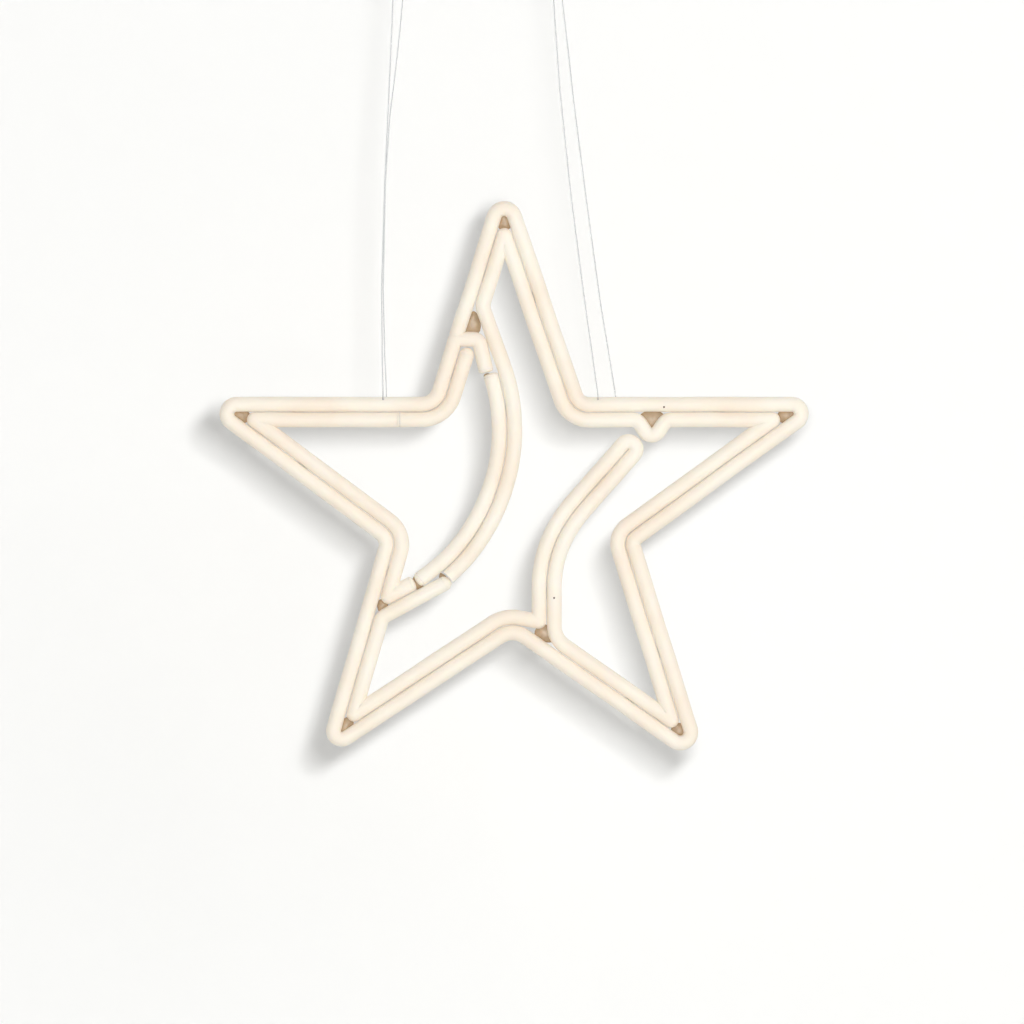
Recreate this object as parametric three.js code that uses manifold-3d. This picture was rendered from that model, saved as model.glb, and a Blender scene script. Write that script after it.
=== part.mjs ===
// Hanging star ornament, drawn twice over with soft round tube on bendable wire.
// Units are millimetres. X runs across the star, Z points up and the front faces -Y.
// The origin lies on the ceiling, midway between the two hooks that hold the star.

import * as THREE from 'three';
import { mergeVertices } from 'three/addons/utils/BufferGeometryUtils.js';
import Module from 'manifold-3d';

const wasm = await Module();
wasm.setup();

// Tube, the wire inside it, and the gap between pieces that lie against each other
const TUBE_OD = 7.7;
const BORE_D = 2.6;
const CORE_D = 2.0;
const GAP = 0.3;
const TUBE_R = TUBE_OD / 2;
const PITCH = TUBE_OD + GAP;

// End caps: a disc or a dome on a peg that sits in the bore
const CAP_THICKNESS = 1.0;
const PEG_D = 2.0;
const PEG_LENGTH = 2.0;
const CORE_SETBACK = 1.0;

// Roundness of the faceted surfaces
const TUBE_SIDES = 12;
const WIRE_SIDES = 6;
const WIRE_FIRST_ANGLE = Math.PI / WIRE_SIDES;
const LINE_SIDES = 8;
const TIP_STEPS = 5;
const WAIST_STEPS = 4;
const WIDEST_STEP = THREE.MathUtils.degToRad(30);
const CHORD_SAG = 0.18;
const DOME_STEPS = 4;

// Points closer than this are one point, and a reach this much past a radius still counts as on it
const SAME_POINT = 1e-4;
const ON_SURFACE = 1e-3;

// Corners of the outline tube's centre line: x, height above the arms' axis, bend radius
const OUTLINE = {
  topLeftWaist: corner(-22, 0, 9.8, WAIST_STEPS),
  leftTip: corner(-139.5, 0, 5.0, TIP_STEPS),
  leftWaist: corner(-46, -69.5, 7.5, WAIST_STEPS),
  lowLeftTip: corner(-77.5, -178.5, 4.3, TIP_STEPS),
  bottomNotch: corner(18, -115.5, 11.3, WAIST_STEPS),
  lowRightTip: corner(114.5, -183, 5.5, TIP_STEPS),
  rightWaist: corner(79.5, -70.5, 4.1, WAIST_STEPS),
  rightTip: corner(177, 0, 4.8, TIP_STEPS),
  topRightWaist: corner(52, 0, 7.3, WAIST_STEPS),
  topTip: corner(13.5, 113, 5.4, TIP_STEPS),
};

// The shoulder: the stub's domed end, and the hook that the outline tube bends round it
const STUB_DOME_HEIGHT = 25.4;
const CROWN_CLEARANCE = 0.2;
const HOOK_LEG_LEAN = 12.5;
const HOOK_LEG_END_HEIGHT = 17.0;

// The butt joint of the inner strand on the left arm
const ARM_BUTT_X = -40.1;

// The left arc: two strands on one centre, A on the inside and B on the outside
const ARC_TOP_DROP = 1.87;
const ARC_TOP_SET_OUT = 1.77;
const ARC_LOW_END = new THREE.Vector2(-28.17, -93.91);
const ARC_CREASE_R = 96.9;
const ARC_END_RUN = 4.0;
const ARC_SHOULDER_PITCHES = 3.175;
const ARC_SHOULDER_R = 8.0;

// The inner loop's front end, its run into the left leg, and the left arm tube's foot beside it
const LOOP_FRONT_END = new THREE.Vector2(-17.4, -92.7);
const LOOP_FOOT_HEIGHT = -109.9;
const LOOP_FOOT_R = 5.0;
const FOOT_LENGTH = 14.4;

// The right arc: a doubled strand that rises from the bottom notch and turns back on itself
const RIGHT_ARC_X = 35.5;
const RIGHT_ARC_BEND_HEIGHT = -71.3;
const RIGHT_ARC_R = 64.0;
const RIGHT_ARC_TOP = new THREE.Vector2(77.8, -23.2);
const RIGHT_ARC_ROOT_HEIGHT = -112.0;
const RIGHT_ARC_RETURN_R = 12.0;

// The small V in the right arm's inner strand
const V_BOTTOM = new THREE.Vector2(89.9, -19.2);
const V_BOTTOM_R = 4.1;
const V_HALF_WIDTH = 7.4;
const V_SHOULDER_R = 5.0;

// Clear saddles on the back, each holding two neighbouring strands
const SADDLE_LENGTH = 6.0;
const SADDLE_BACK = 1.2;
const SADDLE_WRAP = THREE.MathUtils.degToRad(45);
const SADDLE_ARC_STEPS = 4;

// Places of the saddles: a share of the way along one side of the outline
const SIDE_SADDLES = [
  { name: 'left_arm_upper_saddle', from: 'topLeftWaist', to: 'leftTip', share: 0.6 },
  { name: 'left_arm_lower_saddle', from: 'leftTip', to: 'leftWaist', share: 0.5 },
  { name: 'left_leg_outer_saddle', from: 'leftWaist', to: 'lowLeftTip', share: 0.65 },
  { name: 'left_leg_inner_saddle', from: 'lowLeftTip', to: 'bottomNotch', share: 0.5 },
  { name: 'right_leg_inner_saddle', from: 'bottomNotch', to: 'lowRightTip', share: 0.6 },
  { name: 'right_leg_outer_saddle', from: 'lowRightTip', to: 'rightWaist', share: 0.5 },
  { name: 'right_arm_lower_saddle', from: 'rightWaist', to: 'rightTip', share: 0.5 },
  { name: 'right_arm_upper_saddle', from: 'rightTip', to: 'topRightWaist', share: 0.42 },
  { name: 'top_arm_right_saddle', from: 'topRightWaist', to: 'topTip', share: 0.5 },
  { name: 'top_arm_left_saddle', from: 'topTip', to: 'topLeftWaist', share: 0.38 },
  { name: 'shoulder_saddle', from: 'topTip', to: 'topLeftWaist', share: 0.85 },
];

// Saddles on the arcs: by share of the left arc from its low end, and on the right arc by share
// of its slant or by height
const LEFT_ARC_SADDLES = [
  { name: 'left_arc_upper_saddle', share: 0.84 },
  { name: 'left_arc_lower_saddle', share: 0.275 },
];
const RIGHT_ARC_UPPER_SADDLE_SHARE = 0.75;
const RIGHT_ARC_LOWER_SADDLE_HEIGHT = -97.13;

// Hanging: two hooks on the ceiling, each with a loop of thin line round the outline tube's wire
const ARM_DROP = 247.3;
const HOOK_X = 41.0;
const HOOK_WIRE_D = 3.6;
const HOOK_BOWL_R = 7.0;
const HOOK_DROP = 23.2;
const HOOK_NECK = 7.0;
const HOOK_SET_OUT = 12.0;
const HOOK_NECK_R = 3.0;
const HOOK_TIP_RISE = 9.0;
const HOOK_TIP_BALL_D = 4.8;
const HOOK_SIDES = 10;
const PLATE_D = 22.0;
const PLATE_THICKNESS = 2.0;
const PLATE_SIDES = 24;
const LINE_D = 0.6;
const CRIMP_OD = 2.0;
const CRIMP_BORE_D = 1.2;
const CRIMP_LENGTH = 7.0;
const CRIMP_SIDES = 12;

// Where the lines enter the outline tube: across the star, front leg and back leg
const LEFT_LINE_X = [-48.9, -47.1];
const RIGHT_LINE_X = [62.1, 71.3];
const CHAMBER_D = 4.4;
const CHAMBER_END = 0.9;
const CHAMBER_SIDES = 16;
const SLOT_WIDTH = 1.2;
const SLOT_NEAR = 0.1;
const SLOT_FAR = 3.0;

// Routes of the two lines, from inside the crimp over the hook, down to the star and back
const LEFT_LINE = [
  [-38.6, 0, -32.3], [-38.6, 0, -27.5], [-38.6, 0, -23.2],
  [-38.92, 0, -22.0], [-39.8, 0, -21.12], [-41.0, 0, -20.8], [-42.2, 0, -21.12], [-43.08, 0, -22.0],
  [-43.4, 0, -23.2], [-43.5, -0.05, -32.0], [-44.0, -0.15, -46.0], [-45.5, -0.45, -80.0],
  [-47.9, -0.85, -131.5], [-49.6, -1.25, -188.0], [-49.3, -1.5, -222.0], [-48.9, -1.6, -240.0],
  [-48.9, -1.6, -247.3],
  [-48.78, -1.39, -248.1], [-48.45, -0.8, -248.69], [-48.0, 0, -248.9], [-47.55, 0.8, -248.69],
  [-47.22, 1.39, -248.1],
  [-47.1, 1.6, -247.3], [-47.1, 1.6, -240.0], [-48.0, 1.5, -222.0], [-48.8, 1.25, -188.0],
  [-47.6, 0.85, -131.5], [-45.3, 0.6, -98.0], [-43.0, 0.4, -80.0], [-40.5, 0.2, -58.0],
  [-38.9, 0.05, -41.0], [-38.6, 0, -36.5], [-38.6, 0, -32.7],
];
const RIGHT_LINE = [
  [43.4, 0, -32.3], [43.4, 0, -27.5], [43.4, 0, -23.2],
  [43.08, 0, -22.0], [42.2, 0, -21.12], [41.0, 0, -20.8], [39.8, 0, -21.12], [38.92, 0, -22.0],
  [38.6, 0, -23.2], [38.8, -0.05, -32.0], [39.6, -0.15, -46.0], [42.4, -0.4, -85.0],
  [48.4, -0.8, -142.0], [55.1, -1.2, -193.5], [61.3, -1.58, -237.0], [62.1, -1.6, -243.5],
  [62.1, -1.6, -247.3],
  [62.75, -1.48, -247.91], [64.2, -0.85, -248.66], [66.7, 0, -248.9], [69.2, 0.85, -248.66],
  [70.65, 1.48, -247.91],
  [71.3, 1.6, -247.3], [71.2, 1.6, -243.5], [70.2, 1.55, -237.0], [63.1, 1.2, -193.5],
  [56.1, 0.8, -142.0], [49.4, 0.4, -90.0], [46.6, 0.2, -64.0], [44.1, 0.05, -43.0],
  [43.5, 0, -37.5], [43.4, 0, -32.7],
];

// Finishes
const CREAM_TUBE = new THREE.MeshStandardMaterial({ color: 0xfff3df, roughness: 0.55 });
const CREAM_CAP = new THREE.MeshStandardMaterial({ color: 0xfff8ea, roughness: 0.5 });
const CORE_WIRE = new THREE.MeshStandardMaterial({ color: 0xb9bcc0, roughness: 0.4, metalness: 1 });
const CLEAR_PLASTIC = new THREE.MeshStandardMaterial({ color: 0xe8edee, roughness: 0.15 });
const CLEAR_LINE = new THREE.MeshStandardMaterial({ color: 0xd3d6d6, roughness: 0.25 });
const CRIMP_METAL = new THREE.MeshStandardMaterial({ color: 0xc4c6c8, roughness: 0.35, metalness: 1 });
const WHITE_PAINT = new THREE.MeshStandardMaterial({ color: 0xf2f2ef, roughness: 0.4 });

function corner(x, height, radius, steps) {
  return { p: new THREE.Vector2(x, height), r: radius, steps };
}

// Lines in the star's plane, each a point and a direction
function direction(from, to) {
  return to.clone().sub(from).normalize();
}

function leftOf(d) {
  return new THREE.Vector2(-d.y, d.x);
}

function offsetLine(from, to, distance) {
  const d = direction(from, to);
  return { p: from.clone().addScaledVector(leftOf(d), distance), d };
}

function meet(a, b) {
  const gap = b.p.clone().sub(a.p);
  return a.p.clone().addScaledVector(a.d, gap.cross(b.d) / a.d.cross(b.d));
}

function atX(line, x) {
  return line.p.clone().addScaledVector(line.d, (x - line.p.x) / line.d.x);
}

function atHeight(line, height) {
  return line.p.clone().addScaledVector(line.d, (height - line.p.y) / line.d.y);
}

// The inner strand's line beside one side of the outline, and its corner inside one of the outline's
function innerSide(from, to) {
  return offsetLine(OUTLINE[from].p, OUTLINE[to].p, PITCH);
}

function innerCorner(name) {
  const names = Object.keys(OUTLINE);
  const i = names.indexOf(name);
  const before = names[(i + names.length - 1) % names.length];
  const after = names[(i + 1) % names.length];
  return meet(innerSide(before, name), innerSide(name, after));
}

// A tip is folded sharp, and a waist bends on the outline's own centre
function innerTip(name) {
  return { p: innerCorner(name), r: 0, steps: OUTLINE[name].steps };
}

function innerWaist(name) {
  return { p: innerCorner(name), r: OUTLINE[name].r + PITCH, steps: OUTLINE[name].steps };
}

function stepsFor(turn, radius) {
  const smooth = radius > CHORD_SAG ? 2 * Math.acos(1 - CHORD_SAG / radius) : WIDEST_STEP;
  return Math.max(2, Math.ceil(Math.abs(turn) / Math.min(WIDEST_STEP, smooth)));
}

// Walks a route of corners and returns its rings, and the corners that are folded sharp
function walk(route) {
  const rings = [];
  const folds = [];
  const last = route.length - 1;
  route.forEach((here, i) => {
    const arriving = i > 0 ? direction(route[i - 1].p, here.p) : null;
    const leaving = i < last ? direction(here.p, route[i + 1].p) : null;
    if (!arriving || !leaving) {
      rings.push({ p: here.p, d: arriving ?? leaving });
      return;
    }
    const turn = Math.atan2(arriving.cross(leaving), arriving.dot(leaving));
    const side = Math.sign(turn);
    const steps = here.steps ?? stepsFor(turn, here.r);
    const centre = here.p.clone()
      .addScaledVector(arriving, -here.r * Math.tan(Math.abs(turn) / 2))
      .addScaledVector(leftOf(arriving), side * here.r);
    for (let k = 0; k <= steps; k += 1) {
      const d = arriving.clone().rotateAround(new THREE.Vector2(), (turn * k) / steps);
      rings.push({ p: centre.clone().addScaledVector(leftOf(d), -side * here.r), d });
    }
    if (here.r === 0) {
      const middle = arriving.clone().rotateAround(new THREE.Vector2(), turn / 2);
      const inward = leftOf(middle).multiplyScalar(side);
      folds.push({ p: here.p, inward, stretch: 1 / Math.cos(turn / 2) });
    }
  });
  return { rings, folds };
}

// Shortens a route's first and last runs
function shortened(route, atStart, atEnd) {
  const last = route.length - 1;
  const ends = route.map((here) => ({ ...here, p: here.p.clone() }));
  ends[0].p.addScaledVector(direction(route[0].p, route[1].p), atStart);
  ends[last].p.addScaledVector(direction(route[last].p, route[last - 1].p), atEnd);
  return ends;
}

// A path whose rings lie just where its bends need them
class RingPath extends THREE.Curve {
  constructor(rings) {
    super();
    this.rings = rings;
  }

  getSpacedPoints() {
    return this.rings.map((ring) => ring.point);
  }

  computeFrenetFrames() {
    const tangents = this.rings.map((ring) => ring.along);
    const normals = this.rings.map((ring) => ring.across);
    const binormals = this.rings.map((ring) => ring.along.clone().cross(ring.across));
    return { tangents, normals, binormals };
  }
}

function polygon(sides, radius, firstAngle = 0) {
  const points = [];
  for (let i = 0; i < sides; i += 1) {
    const angle = firstAngle + (2 * Math.PI * i) / sides;
    points.push(new THREE.Vector2(radius * Math.cos(angle), radius * Math.sin(angle)));
  }
  return points;
}

function discSection(sides, diameter, firstAngle) {
  return new THREE.Shape(polygon(sides, diameter / 2, firstAngle));
}

function pipeSection(outside, bore) {
  const section = new THREE.Shape(outside);
  section.holes.push(new THREE.Path(bore));
  return section;
}

function sweep(section, rings) {
  const extrudePath = new RingPath(rings);
  return new THREE.ExtrudeGeometry(section, { steps: rings.length - 1, extrudePath });
}

// Puts rings walked in a plane into space
function inPlane(rings, right, up) {
  const place = (v) => new THREE.Vector3().addScaledVector(right, v.x).addScaledVector(up, v.y);
  return rings.map(({ p, d }) => ({ point: place(p), along: place(d), across: place(leftOf(d)) }));
}

const ACROSS = new THREE.Vector3(1, 0, 0);
const BACK = new THREE.Vector3(0, 1, 0);
const UP = new THREE.Vector3(0, 0, 1);

function eachPoint(geometry, change) {
  const position = geometry.attributes.position;
  const point = new THREE.Vector3();
  for (let i = 0; i < position.count; i += 1) {
    point.fromBufferAttribute(position, i);
    change(point);
    position.setXYZ(i, point.x, point.y, point.z);
  }
}

// At a fold the tube's outer half turns like a ball, and its inner half meets on the mitre
function foldInnerHalf(geometry, fold, radius) {
  eachPoint(geometry, (point) => {
    const offset = new THREE.Vector2(point.x, point.z).sub(fold.p);
    const reach = offset.length();
    if (reach > radius + ON_SURFACE || offset.dot(fold.inward) <= 0) {
      return;
    }
    const meeting = fold.p.clone().addScaledVector(fold.inward, reach * fold.stretch);
    point.set(meeting.x, point.y, meeting.y);
  });
}

function tubeAlong(route, section, radius) {
  const { rings, folds } = walk(route);
  const geometry = sweep(section, inPlane(rings, ACROSS, UP));
  folds.forEach((fold) => foldInnerHalf(geometry, fold, radius));
  return welded(geometry);
}

// Merges shared points and drops the triangles that a fold has closed up
function welded(geometry) {
  const bare = geometry.clone();
  bare.deleteAttribute('normal');
  bare.deleteAttribute('uv');
  const merged = mergeVertices(bare, SAME_POINT);
  const kept = [];
  const index = merged.index.array;
  for (let i = 0; i < index.length; i += 3) {
    const [a, b, c] = [index[i], index[i + 1], index[i + 2]];
    if (a !== b && b !== c && c !== a) {
      kept.push(a, b, c);
    }
  }
  merged.setIndex(kept);
  return merged;
}

function toSolid(geometry) {
  const bare = welded(geometry);
  return new wasm.Manifold(new wasm.Mesh({
    numProp: 3,
    vertProperties: new Float32Array(bare.attributes.position.array),
    triVerts: new Uint32Array(bare.index.array),
  }));
}

function toGeometry(solid) {
  const mesh = solid.getMesh();
  const geometry = new THREE.BufferGeometry();
  geometry.setAttribute('position', new THREE.BufferAttribute(mesh.vertProperties, 3));
  geometry.setIndex(new THREE.BufferAttribute(mesh.triVerts, 1));
  return geometry;
}

function named(name, geometry, material) {
  const mesh = new THREE.Mesh(geometry, material);
  mesh.name = name;
  return mesh;
}

// The hook at the shoulder: its leg and crown both keep one pitch off the stub's dome
const stubLine = innerSide('topTip', 'topLeftWaist');
const shoulderLine = offsetLine(OUTLINE.topTip.p, OUTLINE.topLeftWaist.p, 0);
const domeCentre = atHeight(stubLine, STUB_DOME_HEIGHT);
const crownHeight = STUB_DOME_HEIGHT + PITCH + CROWN_CLEARANCE;
const crownLine = { p: new THREE.Vector2(0, crownHeight), d: new THREE.Vector2(1, 0) };
const legLean = THREE.MathUtils.degToRad(HOOK_LEG_LEAN);
const legDown = new THREE.Vector2(Math.sin(legLean), -Math.cos(legLean));
const legLine = { p: domeCentre.clone().addScaledVector(leftOf(legDown), PITCH), d: legDown };
const crownLeft = meet(shoulderLine, crownLine);
const crownRight = meet(crownLine, legLine);
const strandTop = crownLeft.clone().addScaledVector(shoulderLine.d, -(TUBE_R + GAP));

const outlineRoute = [
  { p: atHeight(legLine, HOOK_LEG_END_HEIGHT) },
  { p: crownRight, r: PITCH / 2 },
  { p: crownLeft, r: 0 },
  ...Object.values(OUTLINE),
  { p: strandTop },
];

// The left arm tube follows the arm's inside and ends in a short foot beside the inner loop
const innerLeg = innerSide('leftWaist', 'lowLeftTip');
const loopFoot = atHeight(innerLeg, LOOP_FOOT_HEIGHT);
const footLine = offsetLine(LOOP_FRONT_END, loopFoot, -PITCH);
const footCorner = meet(innerLeg, footLine);
const armTopLine = innerSide('topLeftWaist', 'leftTip');

const leftArmRoute = [
  { p: atX(armTopLine, ARM_BUTT_X - GAP / 2) },
  innerTip('leftTip'),
  innerWaist('leftWaist'),
  { p: footCorner, r: 0 },
  { p: footCorner.clone().addScaledVector(footLine.d, -FOOT_LENGTH) },
];

const stubRoute = [
  { p: atX(armTopLine, ARM_BUTT_X + GAP / 2) },
  innerWaist('topLeftWaist'),
  { p: domeCentre },
];

// The left arc's inner strand carries the hook's leg on, so its crease ends half a pitch beside it
const legEnd = atHeight(legLine, HOOK_LEG_END_HEIGHT);
const arcTopEnd = legEnd.clone()
  .addScaledVector(legDown, ARC_TOP_DROP)
  .addScaledVector(leftOf(legDown), PITCH / 2 + ARC_TOP_SET_OUT);

// The arc's centre lies to the left of the chord between its crease's ends
const arcChord = direction(ARC_LOW_END, arcTopEnd);
const halfChord = ARC_LOW_END.distanceTo(arcTopEnd) / 2;
const arcCentre = ARC_LOW_END.clone().lerp(arcTopEnd, 0.5)
  .addScaledVector(leftOf(arcChord), Math.sqrt(ARC_CREASE_R ** 2 - halfChord ** 2));

function angleFromCentre(point) {
  return Math.atan2(point.y - arcCentre.y, point.x - arcCentre.x);
}

// Arcs on that centre, each written as the corner where its end tangents meet
function arcPoint(radius, angle) {
  const turned = new THREE.Vector2(Math.cos(angle), Math.sin(angle));
  return arcCentre.clone().addScaledVector(turned, radius);
}

function arcCorner(radius, fromAngle, toAngle) {
  const half = (fromAngle - toAngle) / 2;
  return { p: arcPoint(radius / Math.cos(half), (fromAngle + toAngle) / 2), r: radius };
}

// A cut end runs straight on its tangent for a little way: side is 1 at the top and -1 below
function arcTangent(angle) {
  return new THREE.Vector2(-Math.sin(angle), Math.cos(angle));
}

function arcEnd(radius, angle, side) {
  const leaves = angle - (side * ARC_END_RUN) / radius;
  return arcPoint(radius, leaves).addScaledVector(arcTangent(leaves), side * ARC_END_RUN);
}

const radiusA = ARC_CREASE_R - PITCH / 2;
const radiusB = ARC_CREASE_R + PITCH / 2;
const topAngle = angleFromCentre(arcTopEnd);
const lowAngle = angleFromCentre(ARC_LOW_END);
const endTurnA = ARC_END_RUN / radiusA;
const leftArcRoute = [
  { p: arcEnd(radiusA, lowAngle, -1) },
  arcCorner(radiusA, topAngle - endTurnA, lowAngle + endTurnA),
  { p: arcEnd(radiusA, topAngle, 1) },
];

// Strand B leaves the top arm at its shoulder and ends against the loop's own front end
const arcShoulder = atHeight(stubLine, STUB_DOME_HEIGHT + ARC_SHOULDER_PITCHES * PITCH);
const shoulderReach = arcShoulder.distanceTo(arcCentre);
const startAngleB = angleFromCentre(arcShoulder) - Math.acos(radiusB / shoulderReach);
const frontReach = LOOP_FRONT_END.distanceTo(arcCentre);
const squareToFront = Math.PI / 2 - Math.acos((TUBE_R + GAP) / frontReach);
const endAngleB = angleFromCentre(LOOP_FRONT_END) + squareToFront;
const endTurnB = ARC_END_RUN / radiusB;

// The right arc's strands lie half a pitch to each side of its crease
const notchLine = innerSide('bottomNotch', 'lowRightTip');
const arcRoot = new THREE.Vector2(RIGHT_ARC_X - PITCH / 2, RIGHT_ARC_ROOT_HEIGHT);
const arcFoot = new THREE.Vector2(RIGHT_ARC_X, RIGHT_ARC_BEND_HEIGHT);

// Over the notch the loop bends on the outline's own centre, then runs straight to the arc's root
function notchToRoot() {
  const { p, r, steps } = innerWaist('bottomNotch');
  const arriving = innerSide('lowLeftTip', 'bottomNotch');
  const leaving = notchLine.d;
  const halfTurn = Math.acos(arriving.d.dot(leaving)) / 2;
  const inward = leaving.clone().sub(arriving.d).normalize();
  const centre = p.clone().addScaledVector(inward, r / Math.cos(halfTurn));
  const toRoot = arcRoot.clone().sub(centre);
  const touch = toRoot.angle() + Math.acos(r / toRoot.length());
  const tangent = new THREE.Vector2(Math.sin(touch), -Math.cos(touch));
  return { p: meet(arriving, { p: arcRoot, d: tangent }), r, steps };
}

function rightArcCorner(side) {
  const offset = (side * PITCH) / 2;
  const upright = offsetLine(new THREE.Vector2(RIGHT_ARC_X, 0), arcFoot, offset);
  const slanted = offsetLine(arcFoot, RIGHT_ARC_TOP, -offset);
  return { p: meet(upright, slanted), r: RIGHT_ARC_R - offset };
}

function rightArcTurn(side) {
  const slanted = offsetLine(arcFoot, RIGHT_ARC_TOP, (side * PITCH) / 2);
  const beyond = RIGHT_ARC_TOP.clone().addScaledVector(slanted.d, PITCH / 2);
  return { p: meet(slanted, { p: beyond, d: leftOf(slanted.d) }), r: PITCH / 2 };
}

const armRightLine = innerSide('rightTip', 'topRightWaist');
const innerLoopRoute = [
  { p: LOOP_FRONT_END },
  { p: loopFoot, r: LOOP_FOOT_R },
  innerTip('lowLeftTip'),
  notchToRoot(),
  { p: arcRoot, r: 0 },
  rightArcCorner(-1),
  rightArcTurn(1),
  rightArcTurn(-1),
  rightArcCorner(1),
  { p: atX(notchLine, RIGHT_ARC_X + PITCH / 2), r: RIGHT_ARC_RETURN_R },
  innerTip('lowRightTip'),
  innerWaist('rightWaist'),
  innerTip('rightTip'),
  { p: atX(armRightLine, V_BOTTOM.x + V_HALF_WIDTH), r: V_SHOULDER_R },
  { p: V_BOTTOM, r: V_BOTTOM_R },
  { p: atX(armRightLine, V_BOTTOM.x - V_HALF_WIDTH), r: V_SHOULDER_R },
  innerWaist('topRightWaist'),
  innerTip('topTip'),
  { p: arcShoulder, r: ARC_SHOULDER_R },
  arcCorner(radiusB, startAngleB, endAngleB + endTurnB),
  { p: arcEnd(radiusB, endAngleB, -1) },
];

// Each tube's ends: how far the tube and its wire stop short of the route's end
const ENDS = {
  flat: { tube: CAP_THICKNESS + GAP, core: CAP_THICKNESS + PEG_LENGTH + GAP },
  dome: { tube: GAP, core: PEG_LENGTH + GAP },
  butt: { tube: 0, core: CORE_SETBACK },
  coped: { tube: 0, core: TUBE_R + CORE_SETBACK },
};

const TUBES = [
  { name: 'outline', route: outlineRoute, start: 'flat', end: 'coped' },
  { name: 'left_arm', route: leftArmRoute, start: 'flat', end: 'flat' },
  { name: 'shoulder_stub', route: stubRoute, start: 'butt', end: 'dome' },
  { name: 'left_arc', route: leftArcRoute, start: 'flat', end: 'flat' },
  { name: 'inner_loop', route: innerLoopRoute, start: 'dome', end: 'butt' },
];

// The strand that lands on the crown is cut to fit it: its end points slide along the tube
// until they stand one gap off the crown
function copeToCrown(geometry) {
  const crown = new THREE.Line3(
    new THREE.Vector3(crownLeft.x, 0, crownLeft.y),
    new THREE.Vector3(crownRight.x, 0, crownRight.y),
  );
  const end = new THREE.Vector3(strandTop.x, 0, strandTop.y);
  const along = new THREE.Vector3(shoulderLine.d.x, 0, shoulderLine.d.y);
  const nearest = new THREE.Vector3();
  const clear = (point) => {
    crown.closestPointToPoint(point, true, nearest);
    return nearest.distanceTo(point) > TUBE_R + GAP;
  };
  eachPoint(geometry, (point) => {
    const offset = point.clone().sub(end);
    if (Math.abs(offset.dot(along)) > ON_SURFACE || offset.length() > TUBE_R + ON_SURFACE) {
      return;
    }
    let far = TUBE_OD;
    let near = -TUBE_OD;
    while (far - near > SAME_POINT) {
      const middle = (far + near) / 2;
      const slid = point.clone().addScaledVector(along, -middle);
      if (clear(slid)) {
        far = middle;
      } else {
        near = middle;
      }
    }
    point.addScaledVector(along, -far);
  });
}

// Room in the outline tube for a line: a chamber round the wire and two slots through the top
function linePassage([frontX, backX]) {
  const left = frontX - CHAMBER_END;
  const right = backX + CHAMBER_END;
  const chamber = new THREE.CylinderGeometry(
    CHAMBER_D / 2, CHAMBER_D / 2, right - left, CHAMBER_SIDES,
  );
  chamber.rotateZ(Math.PI / 2);
  chamber.translate((left + right) / 2, 0, 0);
  const slotDepth = SLOT_FAR - SLOT_NEAR;
  const slotAt = (x, side) => {
    const slot = new THREE.BoxGeometry(SLOT_WIDTH, slotDepth, TUBE_OD);
    slot.translate(x, (side * (SLOT_FAR + SLOT_NEAR)) / 2, TUBE_OD / 2);
    return toSolid(slot);
  };
  return toSolid(chamber).add(slotAt(frontX, -1)).add(slotAt(backX, 1));
}

const tubeSection = pipeSection(
  polygon(TUBE_SIDES, TUBE_R), polygon(WIRE_SIDES, BORE_D / 2, WIRE_FIRST_ANGLE),
);
const coreSection = discSection(WIRE_SIDES, CORE_D, WIRE_FIRST_ANGLE);

function sleeve(tube) {
  const route = shortened(tube.route, ENDS[tube.start].tube, ENDS[tube.end].tube);
  const geometry = tubeAlong(route, tubeSection, TUBE_R);
  if (tube.name !== 'outline') {
    return geometry;
  }
  copeToCrown(geometry);
  const passages = linePassage(LEFT_LINE_X).add(linePassage(RIGHT_LINE_X));
  return toGeometry(toSolid(geometry).subtract(passages));
}

function core(tube) {
  const route = shortened(tube.route, ENDS[tube.start].core, ENDS[tube.end].core);
  return tubeAlong(route, coreSection, CORE_D / 2);
}

// Caps turn about their own axis, with the peg below the seat and the face above it
function capProfile(kind) {
  const profile = [
    new THREE.Vector2(0, -PEG_LENGTH),
    new THREE.Vector2(PEG_D / 2, -PEG_LENGTH),
    new THREE.Vector2(PEG_D / 2, 0),
    new THREE.Vector2(TUBE_R, 0),
  ];
  if (kind === 'flat') {
    profile.push(new THREE.Vector2(TUBE_R, CAP_THICKNESS), new THREE.Vector2(0, CAP_THICKNESS));
    return profile;
  }
  for (let i = 1; i < DOME_STEPS; i += 1) {
    const angle = (Math.PI / 2) * (i / DOME_STEPS);
    profile.push(new THREE.Vector2(TUBE_R * Math.cos(angle), TUBE_R * Math.sin(angle)));
  }
  profile.push(new THREE.Vector2(0, TUBE_R));
  return profile;
}

function cap(name, kind, end, beforeEnd) {
  const out = direction(beforeEnd, end);
  const seat = end.clone().addScaledVector(out, kind === 'flat' ? -CAP_THICKNESS : 0);
  const mesh = named(name, new THREE.LatheGeometry(capProfile(kind), TUBE_SIDES), CREAM_CAP);
  mesh.position.set(seat.x, 0, seat.y);
  const axis = new THREE.Vector3(out.x, 0, out.y);
  mesh.setRotationFromMatrix(new THREE.Matrix4().makeBasis(axis.clone().cross(BACK), axis, BACK));
  return mesh;
}

function capsOf(tube) {
  const last = tube.route.length - 1;
  const ends = [
    { kind: tube.start, end: tube.route[0].p, before: tube.route[1].p, word: 'start' },
    { kind: tube.end, end: tube.route[last].p, before: tube.route[last - 1].p, word: 'end' },
  ];
  return ends
    .filter(({ kind }) => kind === 'flat' || kind === 'dome')
    .map(({ kind, end, before, word }) => cap(`${tube.name}_${word}_cap`, kind, end, before));
}

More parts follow.
